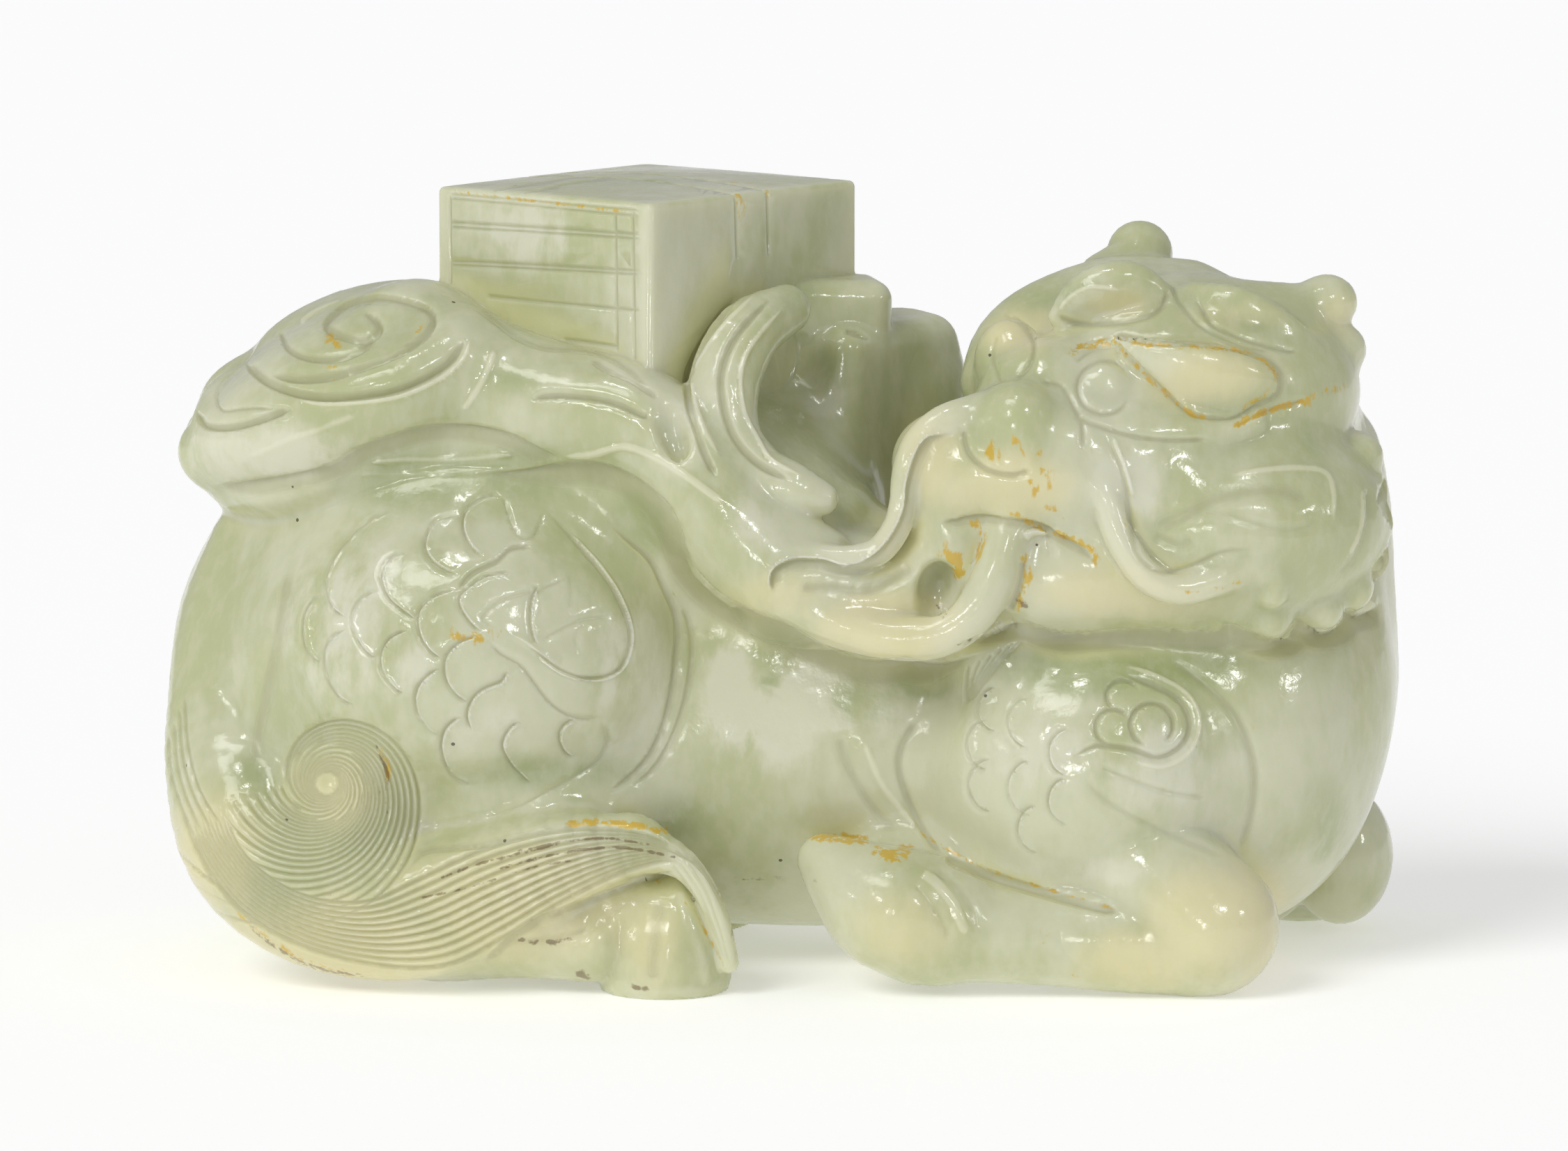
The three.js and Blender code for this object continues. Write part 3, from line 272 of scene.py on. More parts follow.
neck = [
    add(limb([(43.5, 4, 30, 15), (45, 6, 42, 14), (44.5, 4, 50, 12)]), SOFT),
    add(stroke([(1942, 640, 6, 2), (1952, 760, 5, 2.4), (1957, 900, 4, 2.4), (1951, 1040, 5, 2.4),
                (1908, 1160, 6, 2)]), FIRM),
    add(blob(seen(1440, 945, -15.5), (6, 5, 4.5), (0, 25, 0)), FIRM),
]
mane = [
    add(limb([(50, 13, 57, 1), (53, 15, 49, 2.6), (52, 17, 41, 2.4), (47, 18, 35, 1)]), FIRM),
    add(limb([(44, 14, 59, 1), (46, 17.5, 51, 2.6), (44, 19.5, 42, 2.4), (39, 20, 36, 1)]), FIRM),
    add(limb([(38, 13.5, 58, 1), (38, 17, 51, 2.4), (36, 18.5, 44, 2.2), (32, 19, 39, 1)]), FIRM),
]
print(len(tail + neck + mane), "forms make the tail, the neck and the mane")

# %% [markdown]
# ## The cloud, the vapour and the books
# The ruyi head lies over the rump in tiers. From it a band of cloud runs forward and down, a C-shaped curl
# stands beside the books, and a back cloud fills the notch behind. The vapour joins the cloud to the mouth
# with two rims and a sloping sheet between them, which is drilled into behind the lower lip. The case of
# books is a block with a swelling top.

# %% Ruyi head, band, back cloud, vapour and books
ruyi = [
    add(blob(seen(487, 566, 0.5), (15.4, 14.5, 7.0), (20, -30, 0)), FIRM),
    add(stroke([(302, 648, -5, 3.0), (370, 628, -10, 4.0), (470, 600, -13, 4.4), (570, 560, -13, 4.8),
                (650, 520, -11, 4.5)]), FIRM),
    add(stroke([(335, 704, -5, 1.6), (385, 692, -10, 2.2), (450, 676, -13, 1.8)]), CRISP),
    add(blob(seen(340, 588, -6), (4.4, 6.5, 2.8), (24, -25, 0)), CRISP),
    add(blob(seen(518, 506, -4), (11, 10, 4.2), (24, -14, 0)), CRISP),
]
band = [
    add(stroke([(600, 500, -6, 6.5), (700, 545, -10, 5.4), (800, 575, -13, 4.9), (900, 592, -15, 4.6),
                (965, 640, -16.5, 4.6), (1035, 735, -18.5, 4.8), (1105, 812, -19.5, 4.8),
                (1180, 850, -20, 4.2), (1260, 870, -20, 3.4)]), FIRM),
    add(limb([(-40, -4, 50, 9), (-20, -6, 50, 9), (-4, -8, 44, 9), (8, -10, 38, 7)]), SOFT),
    add(stroke([(1128, 444, -7, 2.4), (1072, 480, -11, 3.2), (1040, 550, -14, 3.4), (1044, 625, -16, 3.2),
                (1085, 678, -17.5, 2.9), (1135, 702, -18.5, 2.6), (1180, 716, -18.8, 1.6)]), CRISP),
    add(stroke([(1050, 700, -17, 2.4), (1120, 765, -19, 3), (1185, 795, -19.5, 2.4)]), CRISP),
    add(stroke([(850, 625, -14.5, 3), (905, 632, -16.2, 3), (955, 664, -17.4, 3), (990, 706, -18.2, 3),
                (1012, 752, -18.6, 3), (1036, 798, -19, 3), (1078, 832, -19.6, 3), (1130, 852, -20.2, 3),
                (1190, 884, -20.8, 2.7), (1250, 905, -21.2, 2.5)]), CRISP),
    cut(stroke([(950, 515, -22, 3.0), (960, 575, -21.4, 2.4), (970, 630, -20.6, 1.5),
                (979, 664, -20.6, 0.5)]), CRISP),
]
back_cloud = [
    add(slab((5.3, 9.7, 47.5), (9, 9, 14), 2.5, (0, 0, 50)), CRISP),
    add(blob((-14, 6, 49), (20, 17, 9)), SOFT),
    add(limb([(-38, 10, 52, 8), (-22, 14, 51, 7), (-6, 17, 49, 7), (8, 17, 45, 6.5), (16, 15, 40, 5)]), FIRM),
    add(blob(seen(1305, 590, 14), (6.2, 9, 9.5)), FIRM),
    add(slab(seen(1194, 444, 5), (5.4, 4.5, 3.2), 2.0, (0, 2, 10)), CRISP),
]
vapour = [
    add(limb([(17, -15, 46, 5), (13, -15.6, 39, 5.5), (4, -16.2, 38, 5.5), (0, -16.5, 38, 5)]), CRISP),
    add(stroke([(1350, 660, -16.8, 4.2), (1362, 735, -17.9, 4.4), (1360, 790, -18.2, 4.4),
                (1310, 845, -18.2, 4.0)]), FIRM),
    add(stroke([(1400, 588, -19.5, 1.3), (1352, 602, -20.6, 1.3), (1316, 636, -21, 1.35),
                (1301, 680, -21.3, 1.35), (1297, 722, -21.6, 1.35), (1287, 757, -21.9, 1.35),
                (1262, 790, -22.2, 1.35), (1222, 802, -22.4, 1.3), (1176, 800, -22.4, 1.25),
                (1130, 800, -22.2, 1.25), (1098, 815, -22.0, 1.3), (1090, 842, -21.8, 1.5),
                (1100, 866, -21.6, 1.5), (1120, 872, -21.4, 1.1)]), CRISP),
    add(stroke([(1446, 757, -21.5, 1.8), (1432, 812, -22.8, 2.0), (1402, 872, -23.3, 2.2),
                (1345, 912, -23.5, 2.2), (1270, 914, -23.3, 2.1), (1200, 895, -22.6, 2.1),
                (1140, 872, -22, 1.9)]), CRISP),
    cut(blob(seen(1347, 848, -22.2), (2.0, 2.6, 2.8)), CRISP),
]
BOOKS = (30.8, 27.2, 26.8)
BOOKS_TURN = 50
BOOKS_CENTRE = (-13, 4.5, 61.6)
BOOK_SWELL = 0.7
BOOK_EDGE = 0.6
BOOK_BLEND = 0.3
books = [add(slab(BOOKS_CENTRE, [c / 2 for c in BOOKS], BOOK_EDGE, (0, 0, BOOKS_TURN), BOOK_SWELL),
             BOOK_BLEND)]
print(len(ruyi + band + back_cloud + vapour + books), "forms make the cloud, the vapour and the books")

# %% [markdown]
# ## The head
# The head looks out of the picture. A skull and a cheek carry the broad shape, then come the brows, the
# muzzle and the jaw, and last the small forms on them: the nose bulb, the eyes, the ear, the cheekbone, the
# whisker and the curled edge of the jaw.

# %% Head, face, horns, whisker and curled jaw
head = [
    add(blob(seen(1690, 560, -4), (17.6, 14, 11.4)), FIRM),
    add(blob(seen(1745, 745, -8.5), (16.5, 14.5, 11.4)), FIRM),
    add(stroke([(1436, 548, -8, 3.8), (1456, 500, -5, 4.0), (1508, 462, -3, 4.2), (1600, 428, -1, 4.0),
                (1700, 430, 1, 3.8)]), FIRM),
    add(stroke([(1640, 680, -12, 10), (1520, 670, -15, 8.4), (1430, 668, -16.8, 6.6),
                (1365, 674, -17.6, 4.8)]), FIRM),
    add(blob(seen(1500, 560, -14), (6, 5, 5)), FIRM),
    add(stroke([(1740, 800, -12, 8.6), (1620, 818, -14.5, 7.2), (1545, 826, -17.5, 5.6),
                (1492, 834, -18.2, 4.8)]), FIRM),
]
face = [
    add(blob(seen(1461, 606, -20), (3.9, 3.4, 3.9)), 1.6),
    add(blob(seen(1526, 628, -20), (2.8, 2.6, 2.4)), 1.4),
    add(blob(seen(1450, 518, -11.5), (3.4, 3, 4.0)), CRISP),
    add(blob(seen(1584, 555, -16.4), (2.6, 2.2, 2.6)), CRISP),
    add(stroke([(1520, 454, -11.6, 1.0), (1562, 424, -11.6, 2.4), (1612, 414, -10.9, 3.0),
                (1650, 430, -10.6, 2.4)], (0, 1, 0.6, 0.7)), 1.4),
    add(stroke([(1722, 430, -9.5, 1.8), (1770, 448, -10.8, 2.8), (1826, 476, -10.8, 2.5),
                (1868, 502, -10, 1.0)], (0, 1, 0.6, 0.7)), 1.4),
    add(stroke([(1604, 492, -16.2, 0.6), (1650, 513, -17.1, 1.9), (1705, 535, -17.2, 3.1),
                (1762, 552, -16.5, 3.4), (1798, 552, -15.4, 2.8)], (0, 1, 0.3, 0.6)), CRISP),
    add(stroke([(1540, 585, -17, 0.8), (1595, 605, -18.2, 1.5), (1660, 617, -18.5, 1.8),
                (1740, 620, -18, 1.4), (1800, 606, -17, 0.7)]), 1.4),
]
horns = [
    add(stroke([(1590, 405, 2, 3), (1628, 384, 3.5, 3.2), (1636, 364, 4.5, 3.2)]), CRISP),
    add(stroke([(1770, 470, -7, 3), (1830, 452, -5.5, 2.7), (1890, 436, -4, 2.0)]), FIRM),
    add(blob(seen(1905, 434, -4), (2.9, 2.6, 2.7)), CRISP),
    add(stroke([(1890, 470, -4, 2.4), (1924, 502, -4, 2.5)]), CRISP),
]
whisker = [add(stroke([(1562, 668, -20.5, 0.9), (1588, 716, -22.3, 1.3), (1606, 770, -23, 1.45),
                       (1645, 826, -23.2, 1.5), (1692, 846, -22.8, 1.5), (1742, 834, -22, 1.5),
                       (1792, 816, -21, 1.5), (1824, 828, -20.3, 1.5), (1826, 852, -20, 1.4)]), CRISP)]
CURLS = [(1640, 868, -16.6, 2.6), (1700, 872, -16.6, 2.6), (1760, 870, -16.4, 2.6), (1817, 882, -16.2, 2.6),
         (1894, 872, -14.0, 2.3), (1936, 842, -11.5, 2.4), (1958, 800, -9.5, 2.4), (1966, 752, -8.5, 2.2),
         (1958, 700, -7.5, 2.2), (1950, 655, -7.5, 2.4)]
frill = [add(blob(seen(u, v, y), (r, r * 1.2, r)), CRISP) for u, v, y, r in CURLS]

forms = [
    *trunk,
    *far_side(haunch + shoulder + hind_leg, (2, 0, 0)), *far_side(foreleg, (12, 0, 0)), far_knee,
    *haunch, *shoulder, *hind_leg, *foreleg,
    *far_side(tail[:3]), *tail, *neck, *mane,
    *far_side(ruyi), *ruyi, *back_cloud, *band, *vapour,
    *head, *frill, *face, *whisker, *horns, *books,
]
print(len(forms), "forms in all, in", sum(len(form["parts"]) for form in forms), "parts")

# %% [markdown]
# ## From distances to a skin
# The distances are worked out on a regular grid of points. A join is the smaller of two distances, less a
# little where they are nearly the same, and that little is what rounds the corner between two forms. Each
# part is only measured inside its own box, which keeps millions of points quick.
#
# The skin has one point in each cell that the surface crosses, in the middle of the places where it crosses
# the cell's edges, and one quad around each grid edge that it crosses.

# %% Join the forms on a grid, and take the skin
GRID = 0.33
MARGIN = 1.0


def join(d, e, form):
    """The new distance after a form: min(d, e) - h^2 / 4b, or max(d, -e) + h^2 / 4b for a cut, with b the
    blend and h what the gap between the two lacks of it."""
    near = d + e if form["cut"] else d - e
    soft = np.maximum(form["blend"] - np.abs(near), 0) ** 2 / (4 * form["blend"])
    return np.maximum(d, -e) + soft if form["cut"] else np.minimum(d, e) - soft


def measure(x, y, z, form):
    """The distance to one form at loose points: the least over its parts."""
    e = np.full(x.shape, OUTSIDE)
    for _, _, distance in form["parts"]:
        e = np.minimum(e, distance(x, y, z))
    return e


def carving(points):
    """The distance to the whole carving at loose points. A point beyond a form's box keeps what it has."""
    d = np.full(len(points), OUTSIDE)
    for form in forms:
        reach = form["blend"] + MARGIN
        low = np.min([part[0] for part in form["parts"]], axis=0) - reach
        high = np.max([part[1] for part in form["parts"]], axis=0) + reach
        near = np.flatnonzero(np.all((points > low) & (points < high), axis=1))
        if len(near):
            d[near] = join(d[near], measure(*points[near].T, form), form)
    return np.maximum(d, -points[:, 2])


def sample(low, high):
    """The same distance on a grid of points GRID apart, worked out slice by slice."""
    axes = [np.arange(a, b, GRID, dtype=np.float32) for a, b in zip(low, high)]
    field = np.full([len(a) for a in axes], OUTSIDE, np.float32)

    def span(corner, other):
        return [slice(*np.searchsorted(a, (c, o))) for a, c, o in zip(axes, corner, other)]

    for form in forms:
        reach = form["blend"] + MARGIN
        window = span(np.min([part[0] for part in form["parts"]], axis=0) - reach,
                      np.max([part[1] for part in form["parts"]], axis=0) + reach)
        e = np.full([s.stop - s.start for s in window], OUTSIDE, np.float32)
        for part_low, part_high, distance in form["parts"]:
            part = span(part_low - reach, part_high + reach)
            part = [slice(max(p.start, w.start), min(p.stop, w.stop)) for p, w in zip(part, window)]
            inner = tuple(slice(p.start - w.start, p.stop - w.start) for p, w in zip(part, window))
            x, y, z = np.ix_(*[a[p] for a, p in zip(axes, part)])
            e[inner] = np.minimum(e[inner], distance(x, y, z))
        field[tuple(window)] = join(field[tuple(window)], e, form)
    return np.maximum(field, -axes[2])


def skin(field, low):
    """Points and quads of the surface where the field is zero."""
    inside = field < 0
    size = [n - 1 for n in field.shape]
    corners = [(i, j, k) for i in (0, 1) for j in (0, 1) for k in (0, 1)]

    def shifted(array, corner):
        return array[tuple(slice(c, c + n) for c, n in zip(corner, size))]

    count = sum(shifted(inside, c).astype(np.int8) for c in corners)
    cells = np.argwhere((count > 0) & (count < 8))
    index = np.full(size, -1)
    index[tuple(cells.T)] = np.arange(len(cells))
    value = {c: field[tuple((cells + c).T)] for c in corners}
    total, crossings = np.zeros((len(cells), 3)), np.zeros(len(cells))
    for a in corners:
        for k in range(3):
            if a[k]:
                continue
            b = tuple(c + (axis == k) for axis, c in enumerate(a))
            crosses = (value[a] < 0) != (value[b] < 0)
            place = np.tile(np.array(a, float), (len(cells), 1))
            place[:, k] += value[a] / np.where(crosses, value[a] - value[b], 1)
            total += place * crosses[:, None]
            crossings += crosses
    points = low + GRID * (cells + total / crossings[:, None])
    quads = []
    for k in range(3):
        i, j = (k + 1) % 3, (k + 2) % 3
        step = np.eye(3, dtype=int)
        lower = inside[tuple(slice(0, -1) if axis == k else slice(1, -1) for axis in range(3))]
        upper = inside[tuple(slice(1, None) if axis == k else slice(1, -1) for axis in range(3))]
        edges = np.argwhere(lower != upper) + (1 - step[k])
        ring = np.stack([index[tuple((edges - a * step[i] - b * step[j]).T)]
                         for a, b in ((1, 1), (0, 1), (0, 0), (1, 0))], axis=1)
        outward = inside[tuple(edges.T)]
        quads.append(np.where(outward[:, None], ring, ring[:, ::-1]))
    return points, np.vstack(quads)


low_corner = np.array([-63.0, -31.0, -3.3])
high_corner = np.array([63.5, 31.0, 79.0])
field = sample(low_corner, high_corner)
points, quads = skin(field, low_corner)
print(f"{field.size / 1e6:.1f} million samples gave a skin of {len(quads)} quads")

# %% [markdown]
# ## Fine carving
# The finer work is a height that moves the skin in or out along its own normal. It could be a bump in the
# material, but then the outline and the highlights would not turn with it, so it is real relief. Each line
# is a smooth line on the front drawing, with a half width in mm and a rise that is below zero for a groove.
# It cuts only what is nearer than its front, and it thins out towards both ends. A line marked both is on
# the far side too. An edge is a line with one side: a wall stands on it, the stone is lower on its right,
# and comes back up over its width. Most of the beast is carved in such edges, one form laid over the next.

# %% Lines of the relief
lines = []


def line(at, half, rise, front, both=False, steps=5, taper=0.12, wall=0.0):
    """Add a line to the relief."""
    lines.append({"path": smooth(at, steps), "half": half, "rise": rise, "front": front, "both": both,
                  "taper": taper, "wall": wall})


def edge(at, half, drop, front, both=False, taper=0.12, wall=0.2):
    """Add an edge: right of the way it runs, the stone is lower by drop, beside a wall of that width."""
    line(at, half, -drop, front, both, 5, taper, wall)


def arc(centre, radii, start, end, count=9):
    """Points on an ellipse of the drawing between two angles in degrees, clockwise from the right."""
    turn = np.radians(np.linspace(start, end, count))
    return np.stack([centre[0] + radii[0] * np.cos(turn), centre[1] + radii[1] * np.sin(turn)], axis=1)


# The haunch: a double outline, the teardrop curl with its veins, and the swoosh under it.
edge([(864, 1146), (893, 1120), (923, 1091), (945, 1050), (960, 994), (967, 939), (967, 887), (949, 843),
      (930, 806), (897, 776), (868, 747)], 1.4, 0.4, -8, both=True)
edge([(901, 1133), (938, 1098), (964, 1050), (982, 994), (990, 939), (986, 898), (975, 865)], 1.6, 0.3, -8)
edge([(753, 917), (775, 937), (805, 959), (834, 970), (864, 970), (890, 956), (902, 924), (900, 895),
      (882, 852), (856, 815), (827, 782), (805, 756), (784, 732)], 0.9, 0.35, -12, both=True)
line([(716, 904), (753, 920), (779, 941), (808, 963), (834, 974), (866, 975), (895, 959), (907, 925),
      (905, 893), (887, 849), (861, 811), (831, 778), (809, 752)], 0.3, 0.16, -12)
line([(777, 920), (812, 900), (838, 889), (877, 885)], 0.5, -0.16, -12)
line([(836, 895), (827, 917), (832, 939)], 0.45, -0.1, -12)
line([(764, 784), (734, 787), (712, 806), (679, 822), (657, 846)], 0.5, -0.3, -12)
line([(712, 902), (694, 887), (716, 865), (746, 854), (783, 843), (816, 828)], 0.5, -0.16, -12)
line([(816, 824), (821, 846), (819, 872)], 0.4, -0.08, -12)
edge([(868, 1031), (838, 1034), (812, 1027), (786, 1008), (764, 979), (746, 957), (716, 939), (701, 920)],
     1.0, 0.3, -12)
line([(866, 1035), (872, 1065), (858, 1091), (827, 1113), (790, 1133), (746, 1157), (694, 1176)], 0.45,
     -0.18, -10)
edge([(783, 732), (768, 769), (746, 772), (734, 754), (727, 735), (720, 713)], 0.7, 0.25, -12)

# Fish scales on the haunch and the shoulder: each rim is an edge with a thin ridge on it, open to the right.
HAUNCH_SCALES = [
    [(561, 734), (531, 748), (509, 769), (487, 795), (472, 824), (470, 846), (479, 872), (500, 887)],
    [(461, 852), (442, 876), (437, 902), (442, 932), (461, 952)],
    [(583, 793), (557, 806), (549, 828), (557, 854), (575, 872), (601, 891)],
    [(546, 846), (520, 861), (507, 883), (509, 906), (524, 932), (542, 946)],
    [(498, 902), (475, 920), (468, 943), (472, 972), (487, 998), (507, 1011)],
    [(588, 904), (561, 917), (548, 939), (551, 965), (568, 987), (579, 994)],
    [(664, 741), (631, 747), (616, 765), (612, 787), (627, 809), (657, 824)],
    [(720, 713), (694, 717), (672, 732), (666, 754), (675, 780), (694, 798)],
    [(657, 846), (627, 856), (609, 869), (601, 887), (605, 913), (620, 935), (635, 944)],
    [(690, 913), (660, 924), (642, 943), (640, 969), (653, 994), (675, 1009)],
    [(635, 957), (609, 976), (598, 998), (601, 1024), (616, 1046), (627, 1054)],
    [(731, 961), (720, 980), (694, 991), (679, 1006), (672, 1028), (679, 1050)],
    [(664, 1028), (642, 1046), (635, 1072), (642, 1098), (657, 1116), (675, 1126)],
    [(749, 1035), (731, 1050), (723, 1072), (734, 1094), (749, 1111), (764, 1124)],
    [(827, 1033), (810, 1044), (805, 1061), (812, 1078), (825, 1087)],
    [(738, 822), (701, 828), (675, 843), (660, 861), (672, 887), (694, 909)],
    [(775, 839), (766, 858), (763, 887), (766, 909), (771, 924)],
]


def scale_rim(at, depth=1.0):
    """A scale: an edge that is lower outside it, and a thin ridge along it."""
    edge(at, 1.0, 0.36 * depth, -11, wall=0.12)
    line(at, 0.28, 0.16 * depth, -11)


for at in HAUNCH_SCALES:
    scale_rim(at)
SHOULDER_SCALES = [(1389, 1069, 32), (1448, 1037, 32), (1392, 1127, 34), (1448, 1131, 36), (1506, 1150, 30),
                   (1507, 1080, 30), (1462, 1190, 30), (1405, 1018, 28)]
for u, v, radius in SHOULDER_SCALES:
    scale_rim(arc((u + radius, v), (radius, radius * 1.1), 262, 98), 0.85)

# The shoulder: its outlines, the curl with its bumps, and the swooshes.
line([(1204, 1055), (1217, 1100), (1248, 1154), (1288, 1198)], 1.1, -0.2, -8)
line([(1239, 1060), (1262, 1118), (1293, 1162), (1320, 1189)], 0.6, 0.15, -8)
line([(1320, 1029), (1297, 1064), (1290, 1100), (1302, 1145), (1329, 1198), (1355, 1229)], 0.8, -0.26, -8)
line([(1672, 944), (1726, 979), (1775, 1029), (1800, 1100), (1797, 1162), (1775, 1234)], 0.9, -0.22, -8,
     both=True)
line([(1534, 1091), (1574, 1071), (1623, 1075), (1663, 1087), (1697, 1069), (1708, 1037), (1690, 1002),
      (1645, 979), (1605, 966)], 0.55, -0.3, -12)
line([(1610, 955), (1655, 968), (1704, 996), (1722, 1036), (1708, 1078), (1668, 1100), (1620, 1090)], 0.4,
     0.2, -12)
line(arc((1654, 1040), (31, 31), 100, 420), 0.45, -0.3, -12)
line(arc((1598, 1044), (26, 26), 60, 330), 0.42, -0.28, -12)
line(arc((1612, 998), (24, 22), 120, 330), 0.42, -0.28, -12)
line([(1578, 1100), (1623, 1118), (1677, 1136), (1735, 1145)], 0.45, -0.15, -12)
line([(1555, 1118), (1590, 1150), (1640, 1180), (1700, 1205), (1765, 1232)], 0.6, -0.15, -12)

# The legs: the crease over the shank, the fetlock tuft, the ledge of the shank and the cleft of the hoof.
line([(1352, 1228), (1422, 1257), (1526, 1289), (1608, 1310)], 0.8, -0.45, -14)
line([(1323, 1252), (1345, 1268), (1370, 1300), (1387, 1344)], 0.8, 0.24, -14)
line([(1312, 1268), (1332, 1290), (1352, 1320), (1362, 1350)], 0.6, -0.14, -14)
line([(1340, 1246), (1372, 1270), (1398, 1305), (1405, 1332)], 0.6, -0.14, -14)
line([(1520, 1333), (1530, 1370), (1567, 1408)], 0.5, -0.08, -14)
line([(697, 1352), (760, 1350), (809, 1344), (850, 1332)], 0.8, -0.16, -14)
line([(972, 1272), (988, 1320), (1008, 1380), (1014, 1420)], 1.2, 0.12, -14)
line([(952, 1290), (943, 1330), (938, 1370), (936, 1410)], 1.6, -0.2, -14)
edge([(1051, 1339), (1028, 1283), (1006, 1249), (972, 1227), (893, 1204), (826, 1190), (759, 1202),
      (697, 1216), (647, 1221), (607, 1227), (579, 1261)], 1.6, 0.35, -12)
edge([(691, 1384), (725, 1350), (776, 1317), (815, 1300), (882, 1277), (927, 1261), (969, 1249)], 1.6, 0.45,
     -14)
edge([(773, 1342), (820, 1355), (865, 1322), (899, 1294)], 1.0, 0.15, -14)
edge([(362, 1110), (366, 1050), (376, 1000), (388, 940), (400, 880), (410, 800)], 3.0, 0.35, -6, wall=1.2)
print(len(lines), "lines on the body and the legs")

# %% [markdown]
# ## Hair
# The hair of the tail is cut with a fine wheel, in strands that never cross. The swirl is a family of
# logarithmic spirals: the radius grows by the same share with each degree, so all strands keep one angle to
# the centre. The long lock is a family of lines drawn between its upper and its lower edge.

# %% Strands of the tail, the neck and the beard
# The swirl's middle is a place on the drawing, and its radii are in units of the drawing. The growth is for
# each radian.
SWIRL = (467, 1124)
SWIRL_GROWTH = 0.27
SWIRL_EDGE = 58
SWIRL_ARMS = 22
ARM_STARTS, ARM_END, ARM_POINTS = (14, 52), 262, 44
SHORTEST_ARM = 4


def strands(first, last, count, half, rise, front):
    """Lines between two lines of as many points: each is a share of the way from the first to the last."""
    first, last = np.array(first, float), np.array(last, float)
    for share in (np.arange(count) + 0.5) / count:
        line(first + (last - first) * share, half, rise, front, steps=4)


for arm in range(SWIRL_ARMS):
    # Every other strand begins further out, where there is room for it.
    first = math.log(ARM_STARTS[arm % 2] / ARM_STARTS[0])
    angle = np.linspace(first, math.log(ARM_END / ARM_STARTS[0]), ARM_POINTS) / SWIRL_GROWTH
    radius = ARM_STARTS[0] * np.exp(SWIRL_GROWTH * angle)
    bearing = angle + 2 * math.pi * arm / SWIRL_ARMS
    u, v = SWIRL[0] + radius * np.cos(bearing), SWIRL[1] + radius * np.sin(bearing)
    # The edge of the swirl is a spiral as well, which begins on its left, and the strands stay within it.
    keep = radius < SWIRL_EDGE * np.exp(SWIRL_GROWTH * ((bearing + math.pi) % (2 * math.pi)))
    for run in np.split(np.arange(len(keep)), np.flatnonzero(np.diff(keep.astype(int))) + 1):
        if keep[run[0]] and len(run) > SHORTEST_ARM:
            line(np.stack([u[run], v[run]], axis=1), 0.32, -0.3, -8, steps=2)

strands([(322, 1150), (345, 1215), (395, 1262), (460, 1288), (530, 1288), (600, 1255), (690, 1213),
         (780, 1190), (860, 1185), (930, 1196), (985, 1225)],
        [(246, 1130), (280, 1225), (340, 1308), (430, 1362), (540, 1390), (640, 1392), (720, 1355),
         (800, 1304), (880, 1262), (950, 1240), (980, 1238)], 11, 0.38, -0.36, -6)
strands([(268, 985), (272, 1060), (290, 1130), (322, 1180)],
        [(238, 1060), (240, 1110), (250, 1150), (275, 1215)], 4, 0.38, -0.24, -2)
strands([(985, 1225), (1015, 1270), (1035, 1325), (1050, 1390)],
        [(960, 1240), (990, 1290), (1010, 1340), (1040, 1390)], 3, 0.35, -0.15, -8)
strands([(1505, 890), (1440, 950), (1390, 1010)],
        [(1380, 960), (1382, 985), (1386, 1012)], 7, 0.35, -0.2, -8)
print(len(lines), "lines so far, with the hair")

# %% Edges of the cloud, the curl and the vapour
edge([(519, 447), (542, 457), (549, 476), (530, 492), (501, 490), (472, 479), (464, 463), (482, 444),
      (504, 431), (542, 423), (581, 428), (616, 441), (626, 460), (613, 485), (574, 511), (517, 533),
      (469, 547), (421, 549), (386, 539)], 1.5, 0.6, -3, both=True, taper=0.05)
edge([(542, 488), (517, 508), (479, 520), (437, 517), (409, 501), (399, 472)], 1.2, 0.5, -3, both=True)
line([(431, 465), (453, 444), (491, 428)], 0.4, 0.25, -3, both=True)
edge([(670, 482), (657, 514), (629, 539), (581, 562), (533, 572), (469, 576), (421, 569), (383, 554),
      (358, 534), (351, 520)], 1.6, 0.7, -3, both=True)
line([(676, 484), (664, 516), (633, 543), (584, 566), (535, 576), (469, 580), (421, 573)], 0.35, 0.2, -3,
     both=True)
line([(710, 501), (699, 533), (683, 562), (664, 590)], 0.5, 0.2, -3)
edge([(421, 587), (396, 600), (374, 608), (342, 617), (313, 619), (294, 615), (283, 605), (281, 587)],
     1.4, 0.7, -3, both=True)
edge([(351, 528), (326, 544), (314, 562), (314, 579), (322, 588), (342, 586), (367, 584), (405, 587)],
     0.9, 0.35, -3, both=True)
line([(351, 657), (383, 645), (415, 630), (453, 618), (485, 605), (517, 594)], 0.7, 0.12, -6)
edge([(300, 697), (358, 690), (420, 680), (472, 667), (511, 645), (549, 629), (613, 611), (676, 610),
      (730, 622), (776, 645), (806, 657)], 3.2, 0.6, -6)
line([(507, 664), (581, 660), (660, 659), (740, 652), (806, 657)], 0.5, 0.12, -6)
line([(507, 681), (581, 680), (660, 678), (752, 672)], 0.4, 0.08, -6)
edge([(680, 679), (752, 673), (823, 663), (871, 668), (919, 691), (957, 724), (977, 763), (993, 810),
      (1034, 854), (1087, 880), (1134, 899), (1182, 928), (1244, 949), (1302, 946), (1350, 953),
      (1430, 930)], 4.0, 0.8, -8)
line([(804, 655), (847, 653), (895, 641), (938, 655), (977, 677), (1015, 705), (1044, 725)], 0.6, 0.24, -8)
